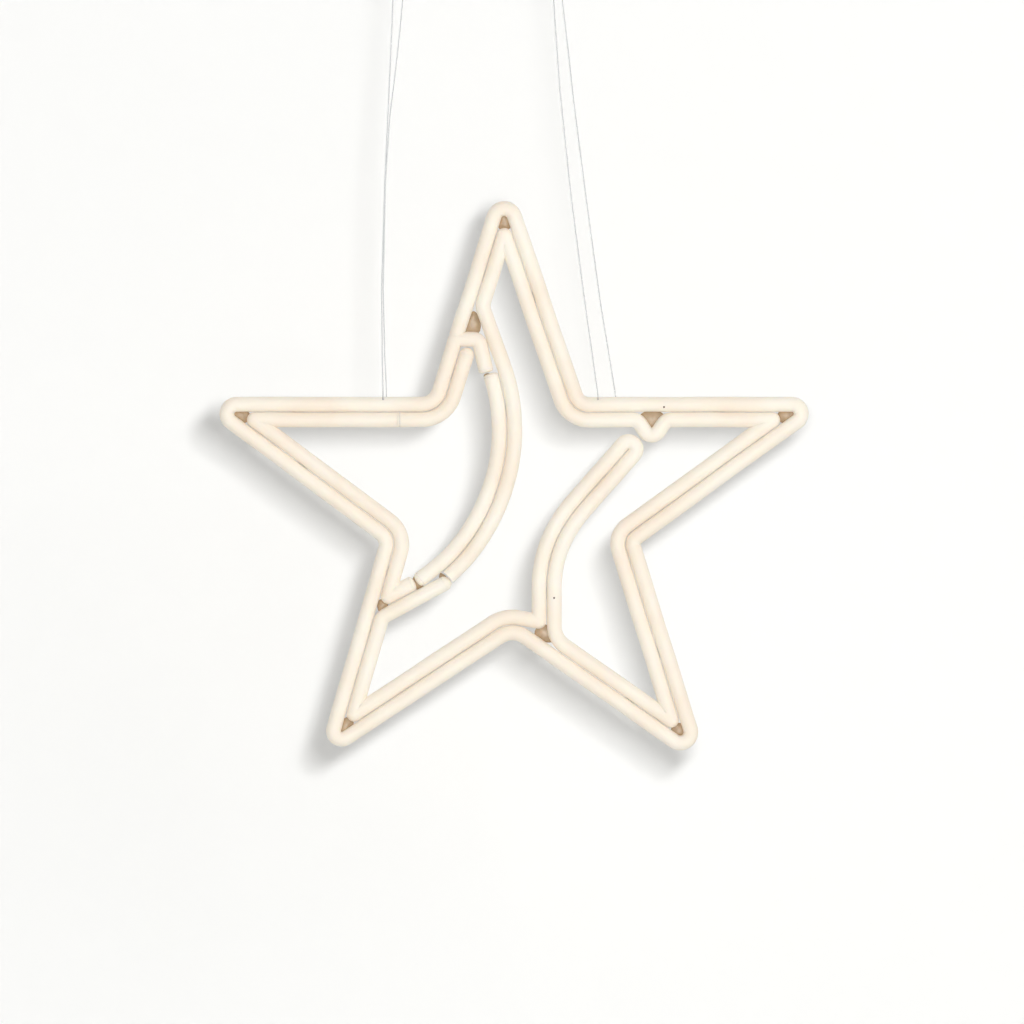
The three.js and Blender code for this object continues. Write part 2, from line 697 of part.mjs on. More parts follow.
// The saddle's section: a flat back and two grooves that wrap the backs of two strands
function saddleSection() {
  const grooveR = TUBE_R + GAP;
  const back = grooveR + SADDLE_BACK;
  const half = PITCH / 2 + grooveR * Math.sin(SADDLE_WRAP);
  const points = [new THREE.Vector2(half, back), new THREE.Vector2(-half, back)];
  [-1, 1].forEach((side) => {
    for (let i = 0; i <= SADDLE_ARC_STEPS; i += 1) {
      const angle = SADDLE_WRAP * (1 - (2 * i) / SADDLE_ARC_STEPS);
      const x = (side * PITCH) / 2 - grooveR * Math.sin(angle);
      points.push(new THREE.Vector2(x, grooveR * Math.cos(angle)));
    }
  });
  return new THREE.Shape(points);
}

function saddle(name, middle, along) {
  const geometry = new THREE.ExtrudeGeometry(saddleSection(), {
    depth: SADDLE_LENGTH, steps: 1, bevelEnabled: false,
  });
  geometry.translate(0, 0, -SADDLE_LENGTH / 2);
  const mesh = named(name, geometry, CLEAR_PLASTIC);
  mesh.position.set(middle.x, 0, middle.y);
  const run = new THREE.Vector3(along.x, 0, along.y);
  mesh.setRotationFromMatrix(new THREE.Matrix4().makeBasis(BACK.clone().cross(run), BACK, run));
  return mesh;
}

// A saddle sits over the crease between its two strands
function sideSaddle({ name, from, to, share }) {
  const start = OUTLINE[from].p;
  const finish = OUTLINE[to].p;
  const d = direction(start, finish);
  const middle = start.clone().lerp(finish, share).addScaledVector(leftOf(d), PITCH / 2);
  return saddle(name, middle, d);
}

function leftArcSaddle({ name, share }) {
  const angle = THREE.MathUtils.lerp(lowAngle, topAngle, share);
  return saddle(name, arcPoint(ARC_CREASE_R, angle), arcTangent(angle));
}

const slantPoint = arcFoot.clone().lerp(RIGHT_ARC_TOP, RIGHT_ARC_UPPER_SADDLE_SHARE);
const uprightPoint = new THREE.Vector2(RIGHT_ARC_X, RIGHT_ARC_LOWER_SADDLE_HEIGHT);

// The knee's saddle sits midway along the straight between the left waist's bend and the foot
const innerLeftWaist = innerWaist('leftWaist');
const waistTurn = Math.acos(innerSide('leftTip', 'leftWaist').d.dot(innerLeg.d));
const kneePoint = innerLeftWaist.p.clone()
  .addScaledVector(innerLeg.d, innerLeftWaist.r * Math.tan(waistTurn / 2))
  .lerp(footCorner, 0.5)
  .addScaledVector(leftOf(innerLeg.d), -PITCH / 2);

const saddles = [
  ...SIDE_SADDLES.map(sideSaddle),
  saddle('left_leg_knee_saddle', kneePoint, innerLeg.d),
  ...LEFT_ARC_SADDLES.map(leftArcSaddle),
  saddle('right_arc_upper_saddle', slantPoint, direction(arcFoot, RIGHT_ARC_TOP)),
  saddle('right_arc_lower_saddle', uprightPoint, direction(uprightPoint, arcFoot)),
];

// The star itself hangs from the arms' axis
const star = new THREE.Group();
star.position.z = -ARM_DROP;
TUBES.forEach((tube) => {
  star.add(named(`${tube.name}_tube`, sleeve(tube), CREAM_TUBE));
  star.add(named(`${tube.name}_wire`, core(tube), CORE_WIRE));
  star.add(...capsOf(tube));
});
star.add(...saddles);

// A line is a thin tube with a ring at each point of its route
function lineRings(points) {
  const at = points.map(([x, y, z]) => new THREE.Vector3(x, y, z));
  const last = at.length - 1;
  let across = BACK.clone();
  return at.map((point, i) => {
    const before = at[Math.max(i - 1, 0)];
    const after = at[Math.min(i + 1, last)];
    const arriving = point.clone().sub(before).normalize();
    const leaving = after.clone().sub(point).normalize();
    const along = arriving.add(leaving).normalize();
    across = across.clone().addScaledVector(along, -across.dot(along)).normalize();
    return { point, along, across };
  });
}

function hangingLine(name, points) {
  const geometry = sweep(discSection(LINE_SIDES, LINE_D), lineRings(points));
  return named(name, welded(geometry), CLEAR_LINE);
}

// The crimp holds the line's two ends, so it sits where the route starts and stops
function crimp(name, points) {
  const start = new THREE.Vector3(...points[0]);
  const finish = new THREE.Vector3(...points[points.length - 1]);
  const section = pipeSection(
    polygon(CRIMP_SIDES, CRIMP_OD / 2), polygon(CRIMP_SIDES, CRIMP_BORE_D / 2),
  );
  const geometry = new THREE.ExtrudeGeometry(section, {
    depth: CRIMP_LENGTH, steps: 1, bevelEnabled: false,
  });
  geometry.translate(0, 0, -CRIMP_LENGTH / 2);
  const mesh = named(name, geometry, CRIMP_METAL);
  mesh.position.copy(start.add(finish).multiplyScalar(0.5));
  return mesh;
}

// A hook is one bent wire on a round ceiling plate, with a ball on its open end
function ceilingHook(name, x) {
  const route = [
    { p: new THREE.Vector2(0, -PLATE_THICKNESS / 2) },
    { p: new THREE.Vector2(0, -HOOK_NECK), r: HOOK_NECK_R },
    { p: new THREE.Vector2(HOOK_BOWL_R, -HOOK_SET_OUT), r: HOOK_NECK_R },
    { p: new THREE.Vector2(HOOK_BOWL_R, -HOOK_DROP), r: HOOK_BOWL_R },
    { p: new THREE.Vector2(-HOOK_BOWL_R, -HOOK_DROP), r: HOOK_BOWL_R },
    { p: new THREE.Vector2(-HOOK_BOWL_R, -HOOK_DROP + HOOK_TIP_RISE) },
  ];
  const rings = inPlane(walk(route).rings, BACK, UP);
  const wire = sweep(discSection(HOOK_SIDES, HOOK_WIRE_D), rings);
  const plate = new THREE.CylinderGeometry(PLATE_D / 2, PLATE_D / 2, PLATE_THICKNESS, PLATE_SIDES);
  plate.rotateX(Math.PI / 2);
  plate.translate(0, 0, -PLATE_THICKNESS / 2);
  const ball = new THREE.SphereGeometry(HOOK_TIP_BALL_D / 2, HOOK_SIDES, HOOK_SIDES / 2);
  ball.translate(0, -HOOK_BOWL_R, -HOOK_DROP + HOOK_TIP_RISE);
  const geometry = toGeometry(toSolid(plate).add(toSolid(wire)).add(toSolid(ball)));
  const mesh = named(name, geometry, WHITE_PAINT);
  mesh.position.x = x;
  return mesh;
}

const ornament = new THREE.Group();
ornament.add(ceilingHook('left_ceiling_hook', -HOOK_X), ceilingHook('right_ceiling_hook', HOOK_X));
ornament.add(hangingLine('left_line', LEFT_LINE), crimp('left_crimp', LEFT_LINE));
ornament.add(hangingLine('right_line', RIGHT_LINE), crimp('right_crimp', RIGHT_LINE));
ornament.add(star);

export default ornament;
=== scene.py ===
# %% [markdown]
# # A hanging star of soft cream tube
# The real thing is a line drawing made of tube: a five-pointed star whose outline is drawn
# twice, with two curved double strands across its middle. Soft tube is bent by hand over an
# annealed wire, and the wire keeps each bend. Two loops of thin nylon line carry the star.
# The CAD part gives every piece its place. Here each piece gets its real roundness and finish.

# %% Load the fixed frame
import math

import bmesh
import bpy
from mathutils import Matrix, Vector, noise


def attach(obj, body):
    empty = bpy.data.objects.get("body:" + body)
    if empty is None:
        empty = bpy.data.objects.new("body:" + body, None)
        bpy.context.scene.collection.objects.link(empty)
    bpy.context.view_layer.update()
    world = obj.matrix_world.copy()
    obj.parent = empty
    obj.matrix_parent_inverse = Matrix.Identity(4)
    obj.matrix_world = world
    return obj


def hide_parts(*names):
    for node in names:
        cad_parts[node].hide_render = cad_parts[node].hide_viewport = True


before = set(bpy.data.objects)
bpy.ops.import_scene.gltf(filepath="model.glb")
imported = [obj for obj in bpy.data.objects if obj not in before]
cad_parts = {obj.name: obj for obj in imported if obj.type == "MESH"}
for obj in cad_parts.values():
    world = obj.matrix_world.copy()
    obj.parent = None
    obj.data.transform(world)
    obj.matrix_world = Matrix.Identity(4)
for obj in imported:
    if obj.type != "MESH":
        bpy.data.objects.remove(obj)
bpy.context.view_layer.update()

# %% [markdown]
# ## The camera
# The photograph looks straight at the star from far away, so its strands show no perspective.
# An orthographic camera gives the same flat view. Its width is the photograph's own: 1024
# pixels of 0.516 mm, where 15.5 pixels are the 8 mm from one strand's middle to the next.

# %% Look straight at the star
MM = 0.001
MM_PER_PIXEL = 0.516
VIEW_CENTRE = Vector((17.67, 0.0, -302.85)) * MM
CAMERA_BACK = 2.0

camera_data = bpy.data.cameras.new("front_camera")
camera_data.type = "ORTHO"
camera_data.ortho_scale = 1024 * MM_PER_PIXEL * MM
camera = bpy.data.objects.new("front_camera", camera_data)
camera.location = VIEW_CENTRE + Vector((0, -CAMERA_BACK, 0))
camera.rotation_euler = (math.radians(90), 0, 0)
bpy.context.scene.collection.objects.link(camera)
bpy.context.scene.camera = camera
print("view width, mm:", round(camera_data.ortho_scale / MM, 1))

# %% [markdown]
# ## The two hanging lines
# Each line is one length of clear nylon, 0.6 mm thick. It starts in its crimp, goes over the
# ceiling hook, down into the top of the star, once round the wire inside the tube, and back
# up into the same crimp. A curve with one open spline is the natural tool for a line: its
# points are the route and its bevel is the thickness. The star's weight keeps it taut.

# %% Draw the lines
LINE_D = 0.6 * MM
LEFT_ROUTE = [
    (-38.6, 0, -32.3), (-38.6, 0, -27.5), (-38.6, 0, -23.2),
    (-38.92, 0, -22.0), (-39.8, 0, -21.12), (-41.0, 0, -20.8), (-42.2, 0, -21.12),
    (-43.08, 0, -22.0), (-43.4, 0, -23.2), (-43.5, -0.05, -32.0), (-44.0, -0.15, -46.0),
    (-45.5, -0.45, -80.0), (-47.9, -0.85, -131.5), (-49.6, -1.25, -188.0),
    (-49.3, -1.5, -222.0), (-48.9, -1.6, -240.0), (-48.9, -1.6, -247.3),
    (-48.78, -1.39, -248.1), (-48.45, -0.8, -248.69), (-48.0, 0, -248.9),
    (-47.55, 0.8, -248.69), (-47.22, 1.39, -248.1), (-47.1, 1.6, -247.3),
    (-47.1, 1.6, -240.0), (-48.0, 1.5, -222.0), (-48.8, 1.25, -188.0),
    (-47.6, 0.85, -131.5), (-45.3, 0.6, -98.0), (-43.0, 0.4, -80.0), (-40.5, 0.2, -58.0),
    (-38.9, 0.05, -41.0), (-38.6, 0, -36.5), (-38.6, 0, -32.7),
]
RIGHT_ROUTE = [
    (43.4, 0, -32.3), (43.4, 0, -27.5), (43.4, 0, -23.2),
    (43.08, 0, -22.0), (42.2, 0, -21.12), (41.0, 0, -20.8), (39.8, 0, -21.12),
    (38.92, 0, -22.0), (38.6, 0, -23.2), (38.8, -0.05, -32.0), (39.6, -0.15, -46.0),
    (42.4, -0.4, -85.0), (48.4, -0.8, -142.0), (55.1, -1.2, -193.5), (61.3, -1.58, -237.0),
    (62.1, -1.6, -243.5), (62.1, -1.6, -247.3),
    (62.75, -1.48, -247.91), (64.2, -0.85, -248.66), (66.7, 0, -248.9), (69.2, 0.85, -248.66),
    (70.65, 1.48, -247.91), (71.3, 1.6, -247.3),
    (71.2, 1.6, -243.5), (70.2, 1.55, -237.0), (63.1, 1.2, -193.5), (56.1, 0.8, -142.0),
    (49.4, 0.4, -90.0), (46.6, 0.2, -64.0), (44.1, 0.05, -43.0), (43.5, 0, -37.5),
    (43.4, 0, -32.7),
]


def hang_line(name, route):
    curve = bpy.data.curves.new(name, "CURVE")
    curve.dimensions = "3D"
    curve.bevel_depth = LINE_D / 2
    curve.bevel_resolution = 3
    curve.resolution_u = 4
    spline = curve.splines.new("POLY")
    spline.points.add(len(route) - 1)
    for point, place in zip(spline.points, route):
        point.co = (*(Vector(place) * MM), 1.0)
    line = bpy.data.objects.new(name, curve)
    bpy.context.scene.collection.objects.link(line)
    length = sum((Vector(b) - Vector(a)).length for a, b in zip(route, route[1:])) * MM
    print(name, "is", round(length, 4), "m long")
    return line


left_line = hang_line("left_nylon_line", LEFT_ROUTE)
right_line = hang_line("right_nylon_line", RIGHT_ROUTE)

# %% [markdown]
# ## Colours and nodes
# Colours are written as a paint shop would, as sRGB hex values, and Blender's shaders want
# linear light, so one function converts them. One more adds a node, sets it and links it.

# %% Two helpers for materials
def linear(hex_colour):
    channels = [int(hex_colour[i:i + 2], 16) / 255 for i in (1, 3, 5)]
    return (*[c / 12.92 if c <= 0.04045 else ((c + 0.055) / 1.055) ** 2.4 for c in channels], 1.0)


def add_node(tree, kind, settings=None, links=None):
    """settings are attributes or input values by name; links are input name to output socket."""
    node = tree.nodes.new(kind)
    for key, value in (settings or {}).items():
        if isinstance(key, int) or key in node.inputs:
            node.inputs[key].default_value = value
        else:
            setattr(node, key, value)
    for key, socket in (links or {}).items():
        tree.links.new(socket, node.inputs[key])
    return node


def new_material(name):
    material = bpy.data.materials.new(name)
    material.use_nodes = True
    tree = material.node_tree
    tree.nodes.clear()
    output = add_node(tree, "ShaderNodeOutputMaterial")
    return material, tree, output


# %% [markdown]
# ## Cream silicone
# The tube is extruded silicone, filled to a warm cream. Silicone is matte from its release
# powder, and light goes a millimetre or two into it, so the thin shaded edges stay warm.
# A little subsurface does that. Its colour drifts slowly along the tube, as a hand-mixed
# batch does, and the surface carries soft shallow dimples from the hands that bent it.

# %% Mix the cream silicone
CREAM = "#fff6e8"
CREAM_DEEP = "#fceedd"
CREAM_CAP = "#fff5e6"
DRIFT_MM = 35.0
DIMPLE_MM = 4.0
POWDER_MM = 0.5


def cream_silicone(name, light_colour, deep_colour):
    material, tree, output = new_material(name)
    place = add_node(tree, "ShaderNodeTexCoord").outputs["Object"]
    drift = add_node(tree, "ShaderNodeTexNoise", {"Scale": 1000 / DRIFT_MM, "Detail": 2.0},
                     {"Vector": place})
    colour = add_node(tree, "ShaderNodeValToRGB", None, {"Fac": drift.outputs["Fac"]})
    colour.color_ramp.elements[0].position = 0.35
    colour.color_ramp.elements[0].color = linear(deep_colour)
    colour.color_ramp.elements[1].position = 0.65
    colour.color_ramp.elements[1].color = linear(light_colour)
    dimples = add_node(tree, "ShaderNodeTexNoise", {"Scale": 1000 / DIMPLE_MM, "Detail": 1.0},
                       {"Vector": place})
    powder = add_node(tree, "ShaderNodeTexNoise", {"Scale": 1000 / POWDER_MM, "Detail": 3.0},
                      {"Vector": place})
    dimple_bump = add_node(tree, "ShaderNodeBump", {"Strength": 0.35, "Distance": 0.25 * MM},
                           {"Height": dimples.outputs["Fac"]})
    powder_bump = add_node(tree, "ShaderNodeBump", {"Strength": 0.25, "Distance": 0.04 * MM},
                           {"Height": powder.outputs["Fac"],
                            "Normal": dimple_bump.outputs["Normal"]})
    rough = add_node(tree, "ShaderNodeMapRange", {"To Min": 0.5, "To Max": 0.68},
                     {"Value": powder.outputs["Fac"]})
    skin = add_node(
        tree, "ShaderNodeBsdfPrincipled",
        {"IOR": 1.41, "Subsurface Weight": 0.22, "Subsurface Radius": (1.0, 0.62, 0.36),
         "Subsurface Scale": 1.6 * MM},
        {"Base Color": colour.outputs["Color"], "Roughness": rough.outputs["Result"],
         "Normal": powder_bump.outputs["Normal"]},
    )
    tree.links.new(skin.outputs["BSDF"], output.inputs["Surface"])
    return material


tube_silicone = cream_silicone("matte_cream_silicone", CREAM, CREAM_DEEP)
cap_silicone = cream_silicone("pale_cream_silicone", CREAM_CAP, CREAM_DEEP)
print("silicone drift", DRIFT_MM, "mm, dimples", DIMPLE_MM, "mm, powder", POWDER_MM, "mm")

# %% [markdown]
# ## The star's drawing
# The whole star is one plan of straight lines and round corners, so the routes are worked out
# as a draughtsman would. Each outline corner has a place and a bend radius. The inner strand
# runs one pitch, 8 mm, inside the outer one: its tips are folded sharp, and its waists bend
# round the outline's own centres.

# %% Draughtsman's tools, in millimetres in the star's plane
TUBE_R = 3.85
GAP = 0.3
PITCH = 2 * TUBE_R + GAP
ARM_DROP = 247.3


def heading(start, finish):
    return (finish - start).normalized()


def left_of(d):
    return Vector((-d.y, d.x))


def beside(start, finish, distance):
    d = heading(start, finish)
    return start + left_of(d) * distance, d


def meet(one, other):
    (p, d), (q, e) = one, other
    gap = q - p
    return p + d * ((gap.x * e.y - gap.y * e.x) / (d.x * e.y - d.y * e.x))


def at_x(line, x):
    return line[0] + line[1] * ((x - line[0].x) / line[1].x)


def at_height(line, height):
    return line[0] + line[1] * ((height - line[0].y) / line[1].y)


def angle_of(v):
    return math.atan2(v.y, v.x)


# %% The outline's ten corners: place and bend radius
OUTLINE = {
    "top_left_waist": (Vector((-22, 0)), 9.8),
    "left_tip": (Vector((-139.5, 0)), 5.0),
    "left_waist": (Vector((-46, -69.5)), 7.5),
    "low_left_tip": (Vector((-77.5, -178.5)), 4.3),
    "bottom_notch": (Vector((18, -115.5)), 11.3),
    "low_right_tip": (Vector((114.5, -183)), 5.5),
    "right_waist": (Vector((79.5, -70.5)), 4.1),
    "right_tip": (Vector((177, 0)), 4.8),
    "top_right_waist": (Vector((52, 0)), 7.3),
    "top_tip": (Vector((13.5, 113)), 5.4),
}
CORNERS = list(OUTLINE)


def inner_side(start, finish):
    return beside(OUTLINE[start][0], OUTLINE[finish][0], PITCH)


def inner_corner(name):
    i = CORNERS.index(name)
    before, after = CORNERS[i - 1], CORNERS[(i + 1) % len(CORNERS)]
    return meet(inner_side(before, name), inner_side(name, after))


def inner_tip(name):
    return inner_corner(name), 0.0


def inner_waist(name):
    return inner_corner(name), OUTLINE[name][1] + PITCH


print("outline corners:", len(OUTLINE), "strand pitch, mm:", PITCH)

# %% [markdown]
# ## The shoulder
# Near the top arm the outline tube makes its one odd move. Its start bends over the domed end
# of a short stub, like a finger over a knuckle, folds sharp, and only then sets off round the
# star. Its far end comes back and rests on that fold. The inner strand of the left arm is
# three pieces: the stub, the arm tube and the loop's front end.

# %% Routes of the outline, the stub and the left arm
STUB_DOME_HEIGHT = 25.4
HOOK_LEG_LEAN, HOOK_LEG_END = math.radians(12.5), 17.0
CROWN_CLEARANCE = 0.2
stub_line = inner_side("top_tip", "top_left_waist")
shoulder_line = beside(OUTLINE["top_tip"][0], OUTLINE["top_left_waist"][0], 0)
dome_centre = at_height(stub_line, STUB_DOME_HEIGHT)
crown_line = (Vector((0, STUB_DOME_HEIGHT + PITCH + CROWN_CLEARANCE)), Vector((1, 0)))
leg_down = Vector((math.sin(HOOK_LEG_LEAN), -math.cos(HOOK_LEG_LEAN)))
leg_line = (dome_centre + left_of(leg_down) * PITCH, leg_down)
crown_left, crown_right = meet(shoulder_line, crown_line), meet(crown_line, leg_line)
strand_top = crown_left - shoulder_line[1] * (TUBE_R + GAP)

outline_route = [
    (at_height(leg_line, HOOK_LEG_END), 0), (crown_right, PITCH / 2), (crown_left, 0),
    *OUTLINE.values(), (strand_top, 0),
]

ARM_BUTT_X, LOOP_FOOT_HEIGHT, ARM_FOOT_RUN = -40.1, -109.9, 14.4
LOOP_FRONT_END = Vector((-17.4, -92.7))
arm_top_line = inner_side("top_left_waist", "left_tip")
inner_leg = inner_side("left_waist", "low_left_tip")
loop_foot = at_height(inner_leg, LOOP_FOOT_HEIGHT)
foot_line = beside(LOOP_FRONT_END, loop_foot, -PITCH)
foot_corner = meet(inner_leg, foot_line)
left_arm_route = [
    (at_x(arm_top_line, ARM_BUTT_X - GAP / 2), 0), inner_tip("left_tip"),
    inner_waist("left_waist"), (foot_corner, 0),
    (foot_corner - foot_line[1] * ARM_FOOT_RUN, 0),
]
stub_route = [
    (at_x(arm_top_line, ARM_BUTT_X + GAP / 2), 0), inner_waist("top_left_waist"),
    (dome_centre, 0),
]
print("crown of the shoulder at height", round(crown_left.y, 1), "mm over the arms")

# %% [markdown]
# ## The two curved strands
# The left arc is a pair of strands on one centre: a separate short tube on the inside, and the
# tail of the inner loop on the outside. The right arc is a hairpin: the loop rises from the
# bottom notch, turns back on itself, and comes down beside itself.

# %% Routes of the left arc and the inner loop
ARC_CREASE_R, ARC_END_RUN = 96.9, 4.0
ARC_TOP_DROP, ARC_TOP_SET_OUT, ARC_SHOULDER_PITCHES = 1.87, 1.77, 3.175
RADIUS_A, RADIUS_B = ARC_CREASE_R - PITCH / 2, ARC_CREASE_R + PITCH / 2
arc_low_end = Vector((-28.17, -93.91))
arc_top_end = (at_height(leg_line, HOOK_LEG_END) + leg_down * ARC_TOP_DROP
               + left_of(leg_down) * (PITCH / 2 + ARC_TOP_SET_OUT))
half_chord = (arc_top_end - arc_low_end).length / 2
arc_centre = (arc_low_end.lerp(arc_top_end, 0.5) + left_of(heading(arc_low_end, arc_top_end))
              * math.sqrt(ARC_CREASE_R ** 2 - half_chord ** 2))
top_angle, low_angle = angle_of(arc_top_end - arc_centre), angle_of(arc_low_end - arc_centre)


def arc_point(radius, angle):
    return arc_centre + Vector((math.cos(angle), math.sin(angle))) * radius


def arc_tangent(angle):
    return Vector((-math.sin(angle), math.cos(angle)))


def arc_corner(radius, start, finish):
    return arc_point(radius / math.cos((start - finish) / 2), (start + finish) / 2), radius


def arc_end(radius, angle, side):
    leaves = angle - side * ARC_END_RUN / radius
    return arc_point(radius, leaves) + arc_tangent(leaves) * (side * ARC_END_RUN), 0


turn_a, turn_b = ARC_END_RUN / RADIUS_A, ARC_END_RUN / RADIUS_B
left_arc_route = [
    arc_end(RADIUS_A, low_angle, -1), arc_corner(RADIUS_A, top_angle - turn_a, low_angle + turn_a),
    arc_end(RADIUS_A, top_angle, 1),
]

arc_shoulder = at_height(stub_line, STUB_DOME_HEIGHT + ARC_SHOULDER_PITCHES * PITCH)
to_shoulder = arc_shoulder - arc_centre
start_b = angle_of(to_shoulder) - math.acos(RADIUS_B / to_shoulder.length)
to_front = LOOP_FRONT_END - arc_centre
end_b = angle_of(to_front) + math.pi / 2 - math.acos((TUBE_R + GAP) / to_front.length)

RIGHT_ARC_X = 35.5
RIGHT_ARC_R = 64.0
right_top = Vector((77.8, -23.2))
arc_foot = Vector((RIGHT_ARC_X, -71.3))
arc_root = Vector((RIGHT_ARC_X - PITCH / 2, -112.0))
notch_line = inner_side("bottom_notch", "low_right_tip")


def notch_to_root():
    p, r = inner_waist("bottom_notch")
    arriving, leaving = inner_side("low_left_tip", "bottom_notch"), notch_line
    half_turn = math.acos(arriving[1].dot(leaving[1])) / 2
    centre = p + (leaving[1] - arriving[1]).normalized() * (r / math.cos(half_turn))
    to_root = arc_root - centre
    touch = angle_of(to_root) + math.acos(r / to_root.length)
    return meet(arriving, (arc_root, Vector((math.sin(touch), -math.cos(touch))))), r


def right_arc_corner(side):
    upright = beside(Vector((RIGHT_ARC_X, 0)), arc_foot, side * PITCH / 2)
    slanted = beside(arc_foot, right_top, -side * PITCH / 2)
    return meet(upright, slanted), RIGHT_ARC_R - side * PITCH / 2


def right_arc_turn(side):
    slanted = beside(arc_foot, right_top, side * PITCH / 2)
    beyond = right_top + slanted[1] * (PITCH / 2)
    return meet(slanted, (beyond, left_of(slanted[1]))), PITCH / 2


V_BOTTOM = Vector((89.9, -19.2))
V_HALF_WIDTH, V_MOUTH_R, V_BOTTOM_R = 7.4, 5.0, 4.1
FOOT_BEND_R, NOTCH_BEND_R, SHOULDER_BEND_R = 5.0, 12.0, 8.0
arm_right_line = inner_side("right_tip", "top_right_waist")
inner_loop_route = [
    (LOOP_FRONT_END, 0), (loop_foot, FOOT_BEND_R), inner_tip("low_left_tip"), notch_to_root(),
    (arc_root, 0), right_arc_corner(-1), right_arc_turn(1), right_arc_turn(-1),
    right_arc_corner(1), (at_x(notch_line, RIGHT_ARC_X + PITCH / 2), NOTCH_BEND_R),
    inner_tip("low_right_tip"), inner_waist("right_waist"), inner_tip("right_tip"),
    (at_x(arm_right_line, V_BOTTOM.x + V_HALF_WIDTH), V_MOUTH_R), (V_BOTTOM, V_BOTTOM_R),
    (at_x(arm_right_line, V_BOTTOM.x - V_HALF_WIDTH), V_MOUTH_R),
    inner_waist("top_right_waist"), inner_tip("top_tip"), (arc_shoulder, SHOULDER_BEND_R),
    arc_corner(RADIUS_B, start_b, end_b + turn_b), arc_end(RADIUS_B, end_b, -1),
]
print("corners of the inner loop:", len(inner_loop_route))

# %% [markdown]
# ## Bending a tube
# A real tube is pushed along and bent as it goes, and bmesh can do just that. A circle is
# extruded down each straight and spun round each bend. A sharp fold is a spin about the fold
# itself: its outer half turns like a ball, and its inner half is pressed onto the mitre, which
# makes the pinched crease that folded tube shows.

# %% Push a circle along a route
STAR_PLACE = Vector((0, 0, -ARM_DROP))
RUN_STEP = 5.0
BEND_STEP = math.radians(6)


def in_plane(point, right, up, origin):
    return (origin + right * point.x + up * point.y) * MM


def new_ring(bm, verts):
    found = set(verts)
    return [e for e in bm.edges if e.verts[0] in found and e.verts[1] in found]


def bend_tube(route, radius, sides=36, right=Vector((1, 0, 0)), up=Vector((0, 0, 1)),
              origin=STAR_PLACE):
    normal = right.cross(up)
    bm = bmesh.new()
    start, d = route[0][0], heading(route[0][0], route[1][0])
    along, across = right * d.x + up * d.y, right * left_of(d).x + up * left_of(d).y
    pose = Matrix((across, normal, along)).transposed().to_4x4()
    pose.translation = in_plane(start, right, up, origin)
    made = bmesh.ops.create_circle(bm, segments=sides, radius=radius * MM, matrix=pose)
    ring = new_ring(bm, made["verts"])
    ends = [list(made["verts"])]
    folds = []

    def run_to(ring, here, there):
        length = (there - here).length
        count = max(1, round(length / RUN_STEP))
        step = in_plane(there, right, up, origin) - in_plane(here, right, up, origin)
        for _ in range(count):
            grown = bmesh.ops.extrude_edge_only(bm, edges=ring)["geom"]
            verts = [g for g in grown if isinstance(g, bmesh.types.BMVert)]
            bmesh.ops.translate(bm, vec=step / count, verts=verts)
            near = set(verts)
            ring = [g for g in grown if isinstance(g, bmesh.types.BMEdge)
                    and g.verts[0] in near and g.verts[1] in near]
        return ring

    here = start
    for (before, _), (corner, r), (after, _) in zip(route, route[1:], route[2:]):
        arriving, leaving = heading(before, corner), heading(corner, after)
        turn = math.atan2(arriving.x * leaving.y - arriving.y * leaving.x, arriving.dot(leaving))
        side = math.copysign(1, turn)
        setback = r * math.tan(abs(turn) / 2)
        bend_start = corner - arriving * setback
        ring = run_to(ring, here, bend_start)
        centre = bend_start + left_of(arriving) * (side * r)
        steps = max(3, math.ceil(abs(turn) / BEND_STEP), math.ceil(abs(turn) * r / RUN_STEP))
        verts = list({v for e in ring for v in e.verts})
        spun = bmesh.ops.spin(
            bm, geom=ring + verts, cent=in_plane(centre, right, up, origin), axis=normal,
            angle=turn, steps=steps, use_duplicate=False,
        )["geom_last"]
        ring = [g for g in spun if isinstance(g, bmesh.types.BMEdge)]
        if r == 0:
            middle = arriving.lerp(leaving, 0.5).normalized()
            folds.append((corner, left_of(middle) * side, 1 / math.cos(turn / 2)))
        here = corner + leaving * setback
    ring = run_to(ring, here, route[-1][0])
    ends.append(list({v for e in ring for v in e.verts}))
    for corner, inward, stretch in folds:
        hub = in_plane(corner, right, up, origin)
        inward_3d = right * inward.x + up * inward.y
        for v in bm.verts:
            offset = v.co - hub
            flat = offset - normal * offset.dot(normal)
            if flat.length < (radius + 0.001) * MM and flat.dot(inward_3d) > 1e-9:
                v.co = hub + normal * offset.dot(normal) + inward_3d * (flat.length * stretch)
    return bm, ends


# %% [markdown]
# ## Soft, not ruled
# Hand-bent silicone is never quite straight: it wanders by a quarter of a millimetre or so.
# A slow noise field moves neighbouring strands together, so they wander and never collide.
# Blender's noise starts from the clock unless it is seeded, so a seed keeps each run the same.

# %% Finish a bent tube: let it wander, close its ends, shade it smooth
WANDER_MM = 0.22
WANDER_WAVE_MM = 28.0
NOISE_SEED = 11
noise.seed_set(NOISE_SEED)


def wander(bm):
    for v in bm.verts:
        v.co += noise.noise_vector(v.co / (WANDER_WAVE_MM * MM)) * (WANDER_MM * MM)


def finish_mesh(name, bm, material, smooth_angle=40):
    bmesh.ops.remove_doubles(bm, verts=bm.verts, dist=0.002 * MM)
    bmesh.ops.dissolve_degenerate(bm, edges=bm.edges, dist=0.001 * MM)
    bmesh.ops.recalc_face_normals(bm, faces=bm.faces)
    limit = math.radians(smooth_angle)
    for face in bm.faces:
        face.smooth = True
    for edge in bm.edges:
        edge.smooth = len(edge.link_faces) == 2 and edge.calc_face_angle(0) < limit
    mesh = bpy.data.meshes.new(name)
    bm.to_mesh(mesh)
    bm.free()
    mesh.materials.append(material)
    piece = bpy.data.objects.new(name, mesh)
    bpy.context.scene.collection.objects.link(piece)
    return piece


